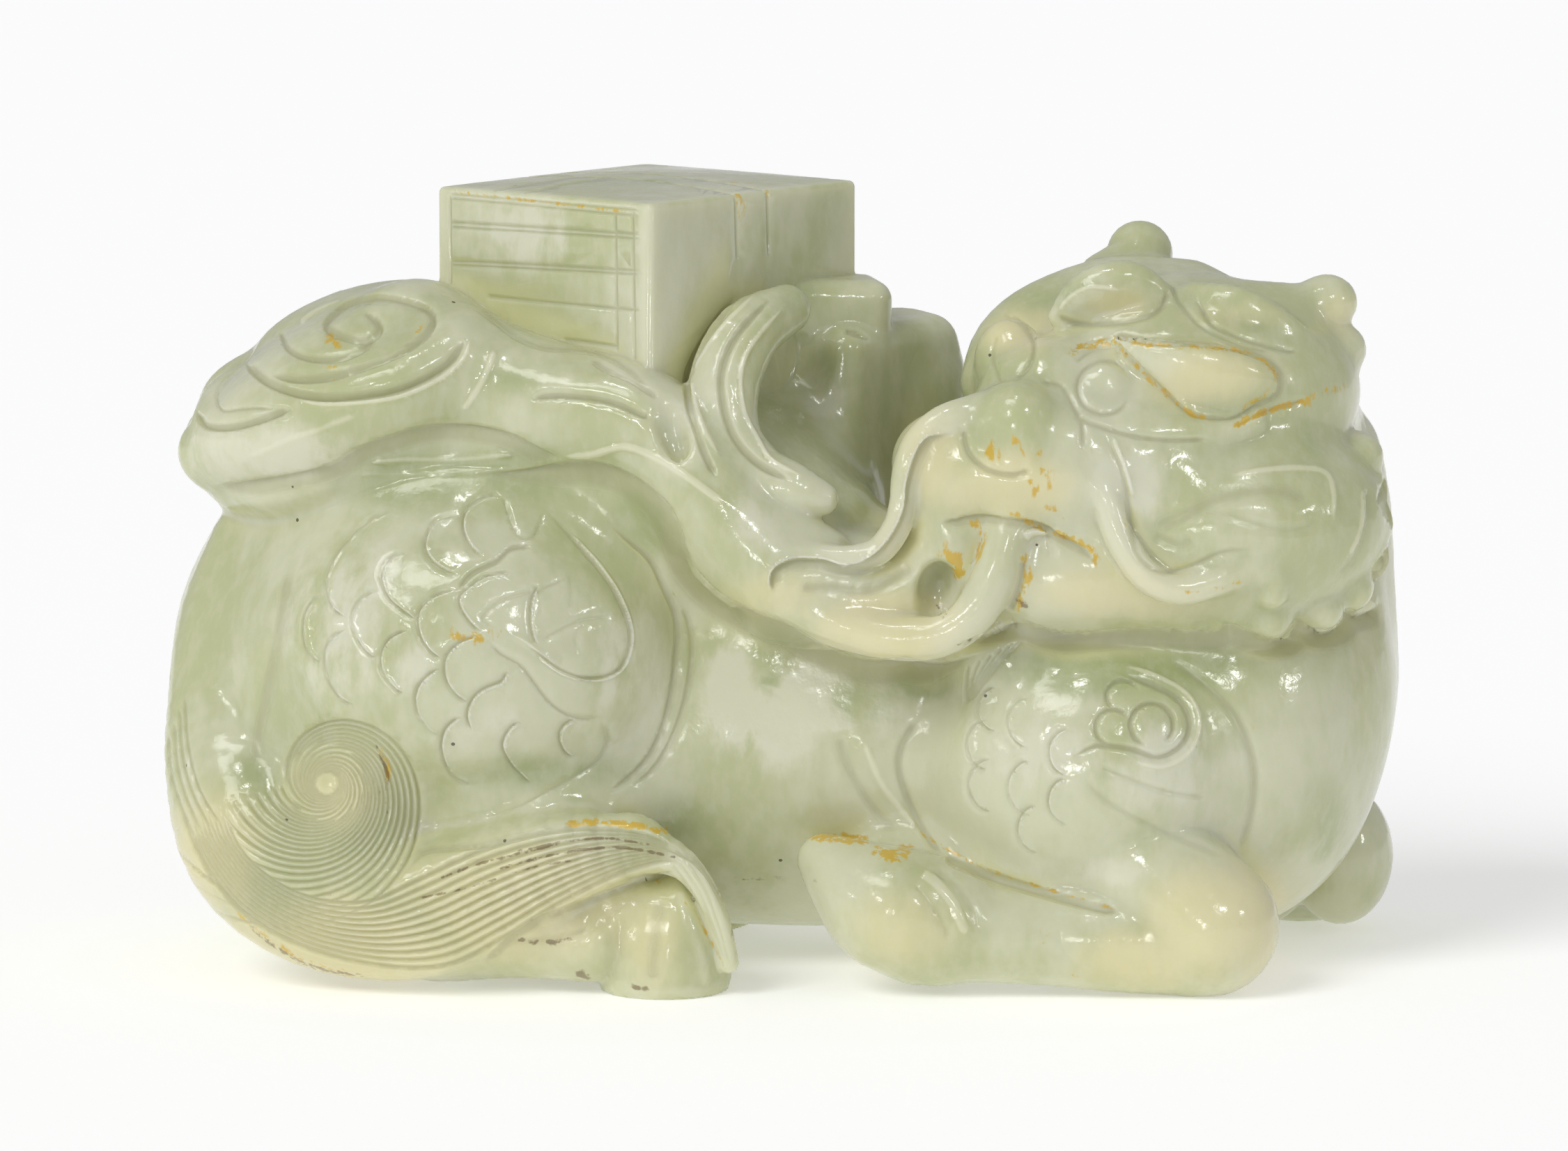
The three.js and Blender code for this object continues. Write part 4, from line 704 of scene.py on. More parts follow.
edge([(933, 601), (919, 599), (886, 584), (847, 575), (800, 572), (761, 575)], 1.3, 0.55, -6)
edge([(942, 572), (929, 564), (905, 548), (871, 534), (845, 517)], 1.0, 0.5, -6)
edge([(941, 565), (895, 529), (857, 510), (823, 505), (776, 501), (737, 484), (709, 462), (680, 442)], 1.2,
     0.35, -3)
line([(1058, 423), (1015, 485), (989, 538), (991, 590), (1010, 648), (1029, 686)], 0.6, -0.4, -3)
line([(1110, 425), (1058, 480), (1036, 533), (1039, 586), (1058, 633), (1091, 667), (1139, 691)], 0.65, -0.5,
     -3)
line([(1091, 416), (1039, 466), (1001, 519), (993, 552), (1010, 614), (1034, 657)], 0.35, 0.2, -3)
line([(1132, 433), (1082, 490), (1064, 533), (1067, 586), (1087, 629), (1110, 662), (1158, 686)], 0.35, 0.25,
     -3)
edge([(1278, 494), (1244, 486), (1211, 477)], 1.5, 0.5, 4)
line([(1371, 622), (1333, 627), (1314, 651), (1301, 693), (1297, 731), (1278, 770), (1249, 800), (1215, 811),
      (1176, 802), (1138, 802), (1111, 816), (1105, 837), (1113, 854)], 0.35, 0.25, -14)
edge([(1113, 856), (1105, 837), (1111, 816), (1138, 802), (1176, 802), (1215, 811), (1249, 800), (1278, 770),
      (1297, 731), (1301, 693), (1314, 651), (1333, 627), (1371, 622)], 2.4, 0.6, -14)
line([(1146, 846), (1176, 842), (1215, 846), (1249, 846), (1287, 831), (1318, 808)], 1.2, -0.25, -14)
edge([(1349, 749), (1371, 745), (1394, 740), (1417, 739), (1448, 743), (1479, 747), (1502, 755), (1528, 770),
      (1555, 785), (1574, 808)], 1.8, 0.6, -14)
edge([(1475, 804), (1473, 823), (1465, 854), (1452, 881)], 1.6, 0.45, -14)
print(len(lines), "lines so far, with the cloud")

# %% Edges and lines of the face
edge([(1376, 925), (1458, 895), (1502, 904), (1536, 911), (1593, 906), (1654, 904), (1706, 906), (1740, 908),
      (1766, 897), (1784, 904), (1805, 912), (1827, 919), (1849, 917), (1857, 906), (1862, 891), (1875, 899),
      (1896, 906), (1918, 902), (1929, 889), (1933, 876), (1953, 880), (1975, 873), (1979, 860), (1975, 839),
      (1972, 817), (1988, 795), (2001, 774)], 3.0, 1.0, -3, wall=0.15, taper=0.04)
edge([(2001, 773), (1998, 751), (1983, 729), (1979, 716), (1990, 682), (1992, 647), (1979, 621)],
     2.0, 0.6, 2, taper=0.04)
line([(1383, 612), (1389, 647), (1415, 673), (1454, 682), (1480, 673)], 0.6, -0.28, -14)
line([(1493, 547), (1523, 554), (1541, 582), (1554, 612), (1554, 647)], 0.5, -0.24, -14)
line([(1536, 593), (1575, 611), (1628, 626), (1680, 632), (1740, 630)], 0.5, -0.24, -12)
line(arc((1586, 556), (39, 38), 20, 340), 0.5, -0.24, -10)
line([(1545, 520), (1570, 502), (1600, 498)], 0.4, -0.17, -10)
line([(1536, 505), (1565, 490), (1592, 484)], 0.35, -0.14, -10)
line([(1517, 450), (1545, 465), (1610, 463), (1662, 447), (1680, 413)], 0.55, -0.28, -6)
line([(1519, 447), (1536, 426), (1567, 411), (1610, 417)], 0.35, 0.2, -6)
line([(1719, 430), (1740, 465), (1784, 486), (1827, 499), (1866, 506)], 0.5, -0.24, -6)
line([(1680, 404), (1697, 439), (1732, 473), (1784, 496), (1827, 506)], 0.45, -0.21, -6)
edge([(1597, 485), (1632, 521), (1671, 557), (1706, 587), (1732, 596), (1771, 596), (1805, 578), (1831, 565),
      (1835, 539), (1823, 525), (1797, 510), (1762, 501), (1719, 496), (1654, 494), (1597, 484)],
     1.2, 0.45, -10, taper=0.02)
line([(1439, 450), (1467, 463), (1484, 491), (1478, 525), (1454, 547)], 0.5, -0.24, -6)
line([(1432, 480), (1424, 515), (1437, 552)], 0.4, -0.17, -6)
line([(1584, 621), (1606, 664), (1619, 712), (1625, 760), (1636, 800), (1667, 821), (1710, 812), (1758, 792),
      (1810, 789)], 0.5, -0.21, -14)
line([(1597, 625), (1618, 680), (1626, 712)], 0.35, 0.22, -14)
line([(1645, 760), (1697, 742), (1749, 716), (1805, 703), (1849, 706), (1879, 723)], 1.5, -0.21, -8)
line([(1680, 738), (1740, 734), (1801, 751), (1840, 760), (1879, 755), (1888, 738)], 0.9, -0.14, -8)
line([(1766, 684), (1810, 675), (1862, 671), (1901, 677), (1914, 703), (1914, 751)], 0.5, 0.18, -6)
line([(1962, 699), (1964, 734), (1957, 768), (1944, 803), (1918, 829)], 0.9, -0.17, -3)
line([(1955, 699), (1957, 734), (1951, 768), (1935, 799)], 0.5, 0.15, -3)
line([(1773, 612), (1805, 595), (1840, 584), (1875, 575)], 0.45, -0.21, -6)
line([(1654, 765), (1690, 782), (1712, 775)], 1.0, -0.17, -10)
line([(1470, 772), (1488, 762), (1530, 768)], 0.6, 0.3, -14)
print(len(lines), "lines on the drawing")

# %% [markdown]
# ## Lines on the books
# The case of books has its own places: a across the cover, b across the ends of the pages and c up, in mm
# from its middle. Double lines part the books on both page ends, and a crossed tape is incised on the top
# and the covers.

# %% Lines of the books
book_axes = axes_of((0, 0, BOOKS_TURN))
LONG, WIDE, TALL = (c / 2 for c in BOOKS)
TAPE = (-2.9, 1.8)
CROSS_TAPE = (2.6, 6.5)
page_lines = [[(12.3, TALL - left), (-12.4, TALL - right)] for left, right in
              ((0.6, 0.6), (1.05, 1.15), (3.4, 2.9), (3.85, 3.35), (7.1, 6.4), (7.5, 6.75))]
page_lines += [[(7.5, 3.2), (-12.4, 3.2)], [(-2.5, -0.2), (-9.6, -0.4)], [(11.9, 13), (11.9, -6)],
               [(-9.2, 13), (-9.4, -1)], [(-11.4, 13), (-11.6, -2)]]
tape_lines = [[(a, 14), (a + 0.3, TALL - 6.3)] for a in TAPE]
top_lines = [[(a, -14), (a, 14)] for a in TAPE] + [[(-15, b), (TAPE[0], b)] for b in CROSS_TAPE]

# For each kind of line: its half width and its rise in mm, and the share over which it thins out.
PAGE_CUT, TAPE_CUT, TOP_CUT = (0.32, -0.22, 0.04), (0.35, -0.2, 0.04), (0.35, -0.2, 0.02)
BOOKS_FOOT = 46
print(len(page_lines) + len(tape_lines) + len(top_lines), "lines on the books")

# %% [markdown]
# ## Cutting the relief
# For each line, a vertex takes the rise times (1 - q^2)^2, with q its distance from the line over the half
# width. Where two lines meet, the stronger one counts. The skin is split finer wherever a line passes,
# before it is moved.

# %% Heights of the relief
# A line comes in over FADE mm past its front, and over FACING where the skin turns to face the drawing. Its
# tip has that share of its width. A face of the books is where a normal lies along the face's own by more
# than SQUARE_ON, within FACE_SKIN mm of the block's side.
FADE = 1.5
FACING = 0.2
TIP = 0.4
SQUARE_ON, FACE_SKIN = 0.8, 0.6


def nearness(path, u, v):
    """The distance of each (u, v) from a line, the least over its pieces, how far along the line that is,
    and on which side: 1 on the right of the way it runs, -1 on the left."""
    near, along, side = np.full(u.shape, np.inf), np.zeros(u.shape), np.ones(u.shape)
    for i, (a, b) in enumerate(zip(path[:-1], path[1:])):
        e = b - a
        t = np.clip(((u - a[0]) * e[0] + (v - a[1]) * e[1]) / max(e @ e, 1e-9), 0, 1)
        d = np.hypot(u - a[0] - e[0] * t, v - a[1] - e[1] * t)
        closer = d < near
        near[closer], along[closer] = d[closer], (i + t[closer]) / (len(path) - 1)
        side[closer] = np.sign(e[0] * (v[closer] - a[1]) - e[1] * (u[closer] - a[0]))
    return near, along, side


def ramp(x, low, high):
    """A smooth step: 0 below low, 1 above high, and 3t^2 - 2t^3 between them."""
    t = np.clip((x - low) / (high - low), 0, 1)
    return t * t * (3 - 2 * t)


def engrave(height, where, path, half, rise, u, v, taper, share=1.0, wall=0.0):
    """Put one line into the height of the vertices listed in where, whose places are u and v. An edge has a
    wall, and takes the rise times (1 - q)^2 on its right."""
    box = np.flatnonzero((u > path[:, 0].min() - half) & (u < path[:, 0].max() + half)
                         & (v > path[:, 1].min() - half) & (v < path[:, 1].max() + half))
    near, along, side = nearness(path, u[box], v[box])
    ends = ramp(np.minimum(along, 1 - along), -0.01, taper)
    q = np.clip(near / (half * (TIP + (1 - TIP) * ends)), 0, 1)
    shape = (1 - q) ** 2 * ramp(near * side, -wall, wall) if wall else (1 - q ** 2) ** 2
    new = rise * shape * ends * (share if np.isscalar(share) else share[box])
    spot = where[box]
    height[spot] = np.where(np.abs(new) > np.abs(height[spot]), new, height[spot])


def relief(points, normals, widen=1.0):
    """How far each vertex moves along its normal. widen makes the lines wider, to mark where they pass."""
    height = np.zeros(len(points))
    side = -np.abs(points[:, 1])
    mirror = np.array([1, -1, 1])
    turned = np.where(points[:, 1:2] > 0, mirror, 1)
    u, v = drawn(points * turned)
    facing = ramp(-((normals * turned) @ LOOK), 0.0, FACING)
    for item in lines:
        where = np.flatnonzero((side < item["front"]) & ((points[:, 1] < 0) | item["both"]) & (facing > 0))
        share = np.clip((item["front"] - side[where]) / FADE, 0, 1) * facing[where]
        engrave(height, where, item["path"], item["half"] / UNIT * widen, item["rise"], u[where], v[where],
                item["taper"], share, item["wall"] / UNIT)
    a, b, c = ((points - BOOKS_CENTRE) @ book_axes).T
    across, along, up = (normals @ book_axes).T
    on_books = (np.abs(a) < LONG + 0.5) & (np.abs(b) < WIDE + 0.5) & (points[:, 2] > BOOKS_FOOT)
    ends = on_books & (np.abs(across) > SQUARE_ON) & (np.abs(a) > LONG - FACE_SKIN)
    covers = on_books & (np.abs(along) > SQUARE_ON) & (np.abs(b) > WIDE - FACE_SKIN)
    top = on_books & (up > SQUARE_ON) & (c > TALL - FACE_SKIN)
    for face, paths, (half, rise, taper), s, t in ((ends, page_lines, PAGE_CUT, b, c),
                                                   (covers, tape_lines, TAPE_CUT, a, c),
                                                   (top, top_lines, TOP_CUT, a, b)):
        where = np.flatnonzero(face)
        for path in paths:
            engrave(height, where, np.array(path), half * widen, rise, s[where], t[where], taper)
    return height


def normals_of(points, triangles):
    """Unit normals at the vertices: the cross products of the triangles' edges, added up at corners."""
    a, b, c = (points[triangles[:, k]] for k in range(3))
    flat = np.cross(b - a, c - a)
    corners = triangles.ravel()
    total = np.stack([np.bincount(corners, np.repeat(flat[:, k], 3), len(points)) for k in range(3)], axis=1)
    return total / np.maximum(np.linalg.norm(total, axis=1, keepdims=True), 1e-12)


def split(points, triangles, marked):
    """Cut every edge whose two ends are marked at its middle, and each triangle into 2, 3 or 4 to match."""
    ring = np.stack([triangles, np.roll(triangles, -1, axis=1)], axis=2)
    cut_here = marked[ring].all(axis=2)
    keys = np.sort(ring, axis=2)
    keys = keys[..., 0] * len(points) + keys[..., 1]
    unique, inverse = np.unique(keys[cut_here], return_inverse=True)
    middle = np.full(triangles.shape, -1)
    middle[cut_here] = len(points) + inverse
    new_points = (points[unique // len(points)] + points[unique % len(points)]) / 2
    number = cut_here.sum(axis=1)
    made = [triangles[number == 0]]
    for k in range(3):
        a, b, c = (triangles[:, (k + s) % 3] for s in range(3))
        ab, bc, ca = (middle[:, (k + s) % 3] for s in range(3))
        one = (number == 1) & cut_here[:, k]
        made += [np.stack(corners, axis=1)[one] for corners in ((a, ab, c), (ab, b, c))]
        two = (number == 2) & ~cut_here[:, (k + 2) % 3]
        made += [np.stack(corners, axis=1)[two] for corners in ((ab, b, bc), (a, ab, bc), (a, bc, c))]
        if k == 0:
            four = number == 3
            made += [np.stack(corners, axis=1)[four]
                     for corners in ((a, ab, ca), (ab, b, bc), (ca, bc, c), (ab, bc, ca))]
    return np.vstack([points, new_points]), np.vstack(made)


def largest(points, triangles):
    """The largest connected skin, found by spreading the lowest vertex number over the triangles."""
    label = np.arange(len(points))
    while True:
        low = label[triangles].min(axis=1)
        new = label.copy()
        np.minimum.at(new, triangles.ravel(), np.repeat(low, 3))
        new = new[new]
        if np.array_equal(new, label):
            break
        label = new
    labels, counts = np.unique(label[triangles[:, 0]], return_counts=True)
    triangles = triangles[label[triangles[:, 0]] == labels[counts.argmax()]]
    used, triangles = np.unique(triangles, return_inverse=True)
    return points[used], triangles.reshape(-1, 3)


# A vertex is marked where lines widened by these shares would move it by more than NEGLIGIBLE mm.
WIDENED = (1.6, 1.1)
NEGLIGIBLE = 0.004
triangles = np.vstack([quads[:, [0, 1, 2]], quads[:, [0, 2, 3]]])
points, triangles = largest(points, triangles)
for _ in range(2):
    points -= carving(points)[:, None] * normals_of(points, triangles)
for widen in WIDENED:
    marked = np.abs(relief(points, normals_of(points, triangles), widen)) > NEGLIGIBLE
    points, triangles = split(points, triangles, marked)
    print(f"{marked.sum()} vertices lie by a line, and the skin has {len(triangles)} triangles")
normals = normals_of(points, triangles)
points -= carving(points)[:, None] * normals
normals = normals_of(points, triangles)
points += relief(points, normals)[:, None] * normals
points[:, 2] = np.maximum(points[:, 2], 0)

# %% [markdown]
# ## The stone as one mesh
# The skin has millions of small triangles, most of them where nothing happens. Decimate merges them where
# the surface hardly bends and keeps them in the carved lines.

# %% Make the piece
BUDGET = 196000
FULL = np.float32


def mesh_object(name, points, faces):
    """A mesh object at the origin, from points in mm."""
    mesh = bpy.data.meshes.new(name)
    mesh.vertices.add(len(points))
    mesh.vertices.foreach_set("co", (points * MM).astype(FULL).ravel())
    mesh.loops.add(faces.size)
    mesh.loops.foreach_set("vertex_index", faces.ravel().astype(np.int32))
    mesh.polygons.add(len(faces))
    mesh.polygons.foreach_set("loop_start", np.arange(0, faces.size, faces.shape[1], dtype=np.int32))
    mesh.update(calc_edges=True)
    mesh.validate()
    made = bpy.data.objects.new(name, mesh)
    bpy.context.scene.collection.objects.link(made)
    return made


stone = mesh_object("jade_qilin", points, triangles)
fewer = stone.modifiers.new("fewer", "DECIMATE")
fewer.ratio = BUDGET / len(triangles)
thinned = bpy.data.meshes.new_from_object(stone.evaluated_get(bpy.context.evaluated_depsgraph_get()))
stone.modifiers.clear()
stone.data = thinned
thinned.name = "jade_qilin"
thinned.shade_smooth()
count = len(thinned.vertices)
skin_points = np.empty(count * 3, FULL)
thinned.vertices.foreach_get("co", skin_points)
skin_points = skin_points.reshape(-1, 3).astype(float) / MM
skin_normals = np.empty(count * 3, FULL)
thinned.vertices.foreach_get("normal", skin_normals)
skin_normals = skin_normals.reshape(-1, 3).astype(float)
print(f"the stone has {len(thinned.polygons)} triangles")

# %% [markdown]
# ## Where the colour changes
# This stone is milky in some places and green in others, yellow where the skin of the pebble is left, and
# ochre or brown where rind and soil have stayed in a groove. Some of the green is painted shade, laid under
# overhanging edges. The hollows and thin rims get a lighter tint, a painted glow for light caught in the
# stone;
# the grooves get painted shade, and the raised ridges a painted highlight. These places are tied to this
# stone's forms, so they are values on its vertices, which the material reads. How deep a place lies is
# measured with the distances: a point is taken outwards by a few mm, and whatever its distance lacks of that
# is the part of the sky that is closed off.

# %% Values on the vertices
DEPTHS = (1.2, 3.5)
RIM = 2.6
GROOVE_DEPTH, RIDGE_HEIGHT = 0.35, 0.2


def closed_off(points, normals):
    """The mean over DEPTHS of 1 - distance(p + depth n) / depth: 0 on an open bulge, 1 in a deep crease."""
    shade = [1 - carving(points + depth * normals) / depth for depth in DEPTHS]
    return np.clip(np.mean(shade, axis=0), 0, 1)


# The material lightens thin rims with a pale tint: a painted glow for light that comes through them.
def thinness(points, normals):
    """1 + distance(p - RIM n) / RIM: 0 on a thick place, 1 on a rim so thin that light comes through it."""
    return np.clip(1 + carving(points - RIM * normals) / RIM, 0, 1)


def patches(spots, u, v):
    """The strongest of many spots (u, v, half width, half height, strength), each falling as exp(-q^2)."""
    value = np.zeros(u.shape)
    for cu, cv, width, height, strength in spots:
        q = ((u - cu) / width) ** 2 + ((v - cv) / height) ** 2
        value = np.maximum(value, strength * np.exp(-q))
    return value


def seams(paths, u, v):
    """The strongest of many stained lines (points, width, strength), each falling as exp(-q^2) beside it."""
    value = np.zeros(u.shape)
    for at, width, strength in paths:
        near = nearness(smooth(at, 3), u, v)[0]
        value = np.maximum(value, strength * np.exp(-(near / width) ** 2))
    return value


CREAM = [(300, 1230, 120, 160, 0.7), (480, 1360, 260, 90, 0.9), (760, 1290, 260, 110, 0.9),
         (930, 1340, 110, 110, 0.7), (490, 1130, 110, 90, 0.6), (1750, 1330, 130, 110, 1.0),
         (1640, 1380, 120, 60, 0.8), (1300, 1330, 150, 90, 0.5), (1440, 700, 120, 70, 0.8),
         (1290, 900, 130, 60, 0.9), (1340, 640, 60, 100, 0.8), (1620, 850, 200, 60, 0.7),
         (1740, 540, 110, 55, 0.9), (1600, 435, 70, 35, 0.6), (1100, 850, 100, 50, 0.7),
         (1920, 450, 50, 50, 0.6), (1290, 770, 60, 90, 0.6), (1960, 950, 40, 200, 0.5),
         (1460, 470, 80, 50, 0.7), (1770, 455, 90, 30, 0.6)]
PALE = [(500, 900, 130, 150, 0.7), (900, 960, 60, 120, 0.8), (1050, 1000, 45, 100, 1.0),
        (1150, 1025, 45, 85, 1.0), (1262, 1030, 45, 40, 0.9), (380, 650, 140, 50, 0.8),
        (760, 330, 110, 70, 0.7), (1170, 330, 60, 60, 0.7), (1000, 620, 60, 120, 0.6),
        (1700, 1100, 110, 90, 0.7), (1500, 1090, 110, 80, 0.7), (1620, 700, 120, 60, 0.7),
        (1080, 760, 70, 60, 0.6), (640, 1050, 80, 60, 0.5), (1180, 560, 60, 60, 0.5),
        (1560, 1250, 110, 30, 0.6), (600, 960, 60, 60, 0.7), (730, 1040, 60, 40, 0.6)]
# Green spots: the stone's own green, and painted shade where they lie under overhanging edges, as under the
# jaw and the cloud band.
GREEN_AND_SHADE = [(700, 690, 240, 60, 0.8), (1150, 420, 50, 40, 0.6), (1640, 960, 250, 50, 0.9),
         (1104, 1010, 18, 60, 0.9), (1115, 925, 70, 35, 0.7), (1225, 1000, 35, 45, 0.8),
         (1320, 980, 60, 30, 0.8), (900, 245, 220, 26, 0.8), (730, 545, 60, 30, 0.6),
         (1770, 462, 90, 22, 0.6), (910, 760, 60, 70, 0.8), (780, 1110, 160, 40, 0.6),
         (980, 1180, 90, 60, 0.5), (1250, 1020, 60, 60, 0.6), (1500, 430, 130, 60, 0.6),
         (740, 450, 110, 60, 0.5), (1000, 400, 60, 90, 0.5), (1870, 640, 60, 90, 0.5),
         (1640, 400, 60, 60, 0.5), (560, 560, 130, 40, 0.4), (1900, 1180, 50, 90, 0.6),
         (420, 1020, 60, 90, 0.6), (360, 1130, 50, 60, 0.7)]
STAINS = [
    ([(1599, 484), (1654, 495), (1740, 499), (1797, 508), (1831, 534), (1823, 560), (1784, 588)], 5, 0.55),
    ([(1740, 600), (1714, 596), (1671, 562), (1628, 522), (1599, 488)], 5, 0.6),
    ([(1773, 612), (1805, 595), (1840, 584), (1875, 575)], 5, 1.0),
    ([(1875, 575), (1910, 560), (1932, 552)], 5, 0.6),
    ([(1540, 505), (1565, 495), (1590, 492)], 8, 0.6),
    ([(1422, 647), (1441, 634), (1467, 643)], 6, 0.9),
    ([(1488, 655), (1500, 672), (1512, 698)], 5, 0.8),
    ([(1475, 690), (1487, 700), (1488, 716)], 4, 0.8),
    ([(1508, 722), (1522, 745)], 5, 0.7),
    ([(1545, 690), (1562, 698)], 5, 0.7),
    ([(1455, 738), (1500, 760), (1545, 775), (1568, 790), (1573, 812)], 5, 0.7),
    ([(1470, 800), (1476, 830), (1462, 870)], 6, 0.8),
    ([(1395, 745), (1412, 765), (1405, 800)], 6, 0.8),
    ([(1352, 790), (1370, 800), (1376, 822)], 9, 1.0),
    ([(1160, 1198), (1195, 1203), (1240, 1206)], 7, 1.0),
    ([(1262, 1222), (1285, 1232), (1300, 1218)], 9, 0.9),
    ([(815, 1183), (860, 1180), (905, 1184), (958, 1194)], 5, 0.9),
    ([(1320, 1195), (1400, 1240), (1500, 1275), (1600, 1305)], 3, 0.6),
    ([(545, 1075), (556, 1100), (560, 1140)], 5, 0.5),
    ([(1500, 1335), (1510, 1370), (1555, 1405)], 3, 0.4),
    ([(650, 910), (700, 915), (712, 905)], 9, 0.6),
    ([(1050, 262), (1062, 290), (1066, 340)], 5, 0.6),
    ([(1097, 262), (1108, 300)], 4, 0.5),
    ([(652, 275), (780, 290), (908, 305)], 4, 0.4),
    ([(475, 487), (484, 495)], 9, 0.8),
    ([(484, 520), (484, 545)], 4, 0.7),
    ([(600, 475), (612, 470)], 5, 0.6),
    ([(940, 1262), (990, 1300), (1040, 1390)], 4, 0.4),
    ([(340, 1310), (420, 1370), (520, 1402)], 6, 0.4),
    ([(1785, 960), (1797, 1050), (1800, 1150)], 4, 0.3),
    ([(1700, 850), (1760, 842), (1810, 822)], 3, 0.5),
    ([(1560, 640), (1600, 700), (1618, 760), (1640, 800)], 3, 0.3),
]
SOIL = [
    ([(633, 1260), (700, 1236), (760, 1222), (800, 1212)], 2, 0.8),
    ([(720, 1246), (780, 1230), (840, 1219), (900, 1217), (967, 1230)], 2, 1.0),
    ([(745, 1222), (810, 1208), (870, 1203), (930, 1212)], 2, 0.9),
    ([(600, 1290), (680, 1272), (760, 1246), (830, 1234)], 2, 0.6),
    ([(540, 1070), (556, 1110), (552, 1150)], 3, 0.7),
    ([(545, 1135), (556, 1165)], 3, 0.6),
    ([(735, 1345), (770, 1352), (808, 1350), (822, 1346)], 3, 0.8),
    ([(832, 1396), (842, 1402)], 5, 1.0),
    ([(905, 1414), (925, 1420)], 3, 0.8),
    ([(1063, 1267), (1058, 1300), (1052, 1340)], 3, 0.8),
    ([(1070, 1262), (1110, 1258), (1150, 1262), (1190, 1266)], 3, 0.6),
    ([(360, 1330), (400, 1362), (450, 1388), (520, 1402)], 3, 0.7),
    ([(1345, 872), (1356, 884)], 5, 1.0),
    ([(1462, 862), (1470, 872)], 5, 0.8),
    ([(1376, 925), (1420, 908)], 2, 0.6),
]
# Each kind of cloud, with the share of it that shows on the far side. The green spots are partly painted
# shade.
CLOUDS = {"cream": (CREAM, 0.4), "pale": (PALE, 0.5), "green_and_shade": (GREEN_AND_SHADE, 0.6)}
mirrored = skin_points * np.where(skin_points[:, 1:2] > 0, np.array([1, -1, 1]), 1)
u, v = drawn(mirrored)
near_share = ramp(-skin_points[:, 1], -8, 0)
carved = relief(skin_points, skin_normals)
# recess and thin mark where the material paints glow: a lighter tint in the hollows and on thin rims.
values = {"recess": closed_off(skin_points, skin_normals), "thin": thinness(skin_points, skin_normals)}
for name, (spots, far_share) in CLOUDS.items():
    values[name] = patches(spots, u, v) * (far_share + (1 - far_share) * near_share)
for name, paths in (("stain", STAINS), ("soil", SOIL)):
    values[name] = seams(paths, u, v) * near_share
# groove marks where the relief is cut in: the material darkens it as painted shade and dulls its polish.
values["groove"] = np.clip(-carved / GROOVE_DEPTH, 0, 1)
# ridge marks raised relief, which the material lightens as a painted highlight.
values["ridge"] = np.clip(carved / RIDGE_HEIGHT, 0, 1)
for name, value in values.items():
    thinned.attributes.new(name, "FLOAT", "POINT").data.foreach_set("value", value.astype(FULL))
    print(f"{name}: mean {value.mean():.2f}, highest {value.max():.2f}")

# %% [markdown]
# ## Jade
# Nephrite is a felt of fine fibres. Light goes in, scatters for a few mm and comes out again, so the stone
# glows and its shadows are soft. The polish is waxy: a low roughness, broken up a little. The colour starts
# as pale celadon and takes its clouds from noise, then each of the values above mixes in its own tint: the
# stone's own clouds, skin and stains, and also painted glow, painted shade and painted highlight.

# %% A node group that mixes a tint in where a value and a noise say so
def socket(group, name, kind, direction, default=None):
    """A named input or output of a node group."""
    made = group.interface.new_socket(name=name, in_out=direction, socket_type=kind)
    if default is not None:
        made.default_value = default
    return made


def math_node(tree, operation, *inputs):
    """One Math node, whose inputs are links or plain numbers. Gives its output."""
    node = tree.nodes.new("ShaderNodeMath")
    node.operation = operation
    for spot, value in zip(node.inputs, inputs):
        if isinstance(value, bpy.types.NodeSocket):
            tree.links.new(value, spot)
        else:
            spot.default_value = value
    return node.outputs[0]


SHARE_STARTS, SHARE_ENDS = 0.25, 0.75
UPRIGHT = (1, 1, 0.5)


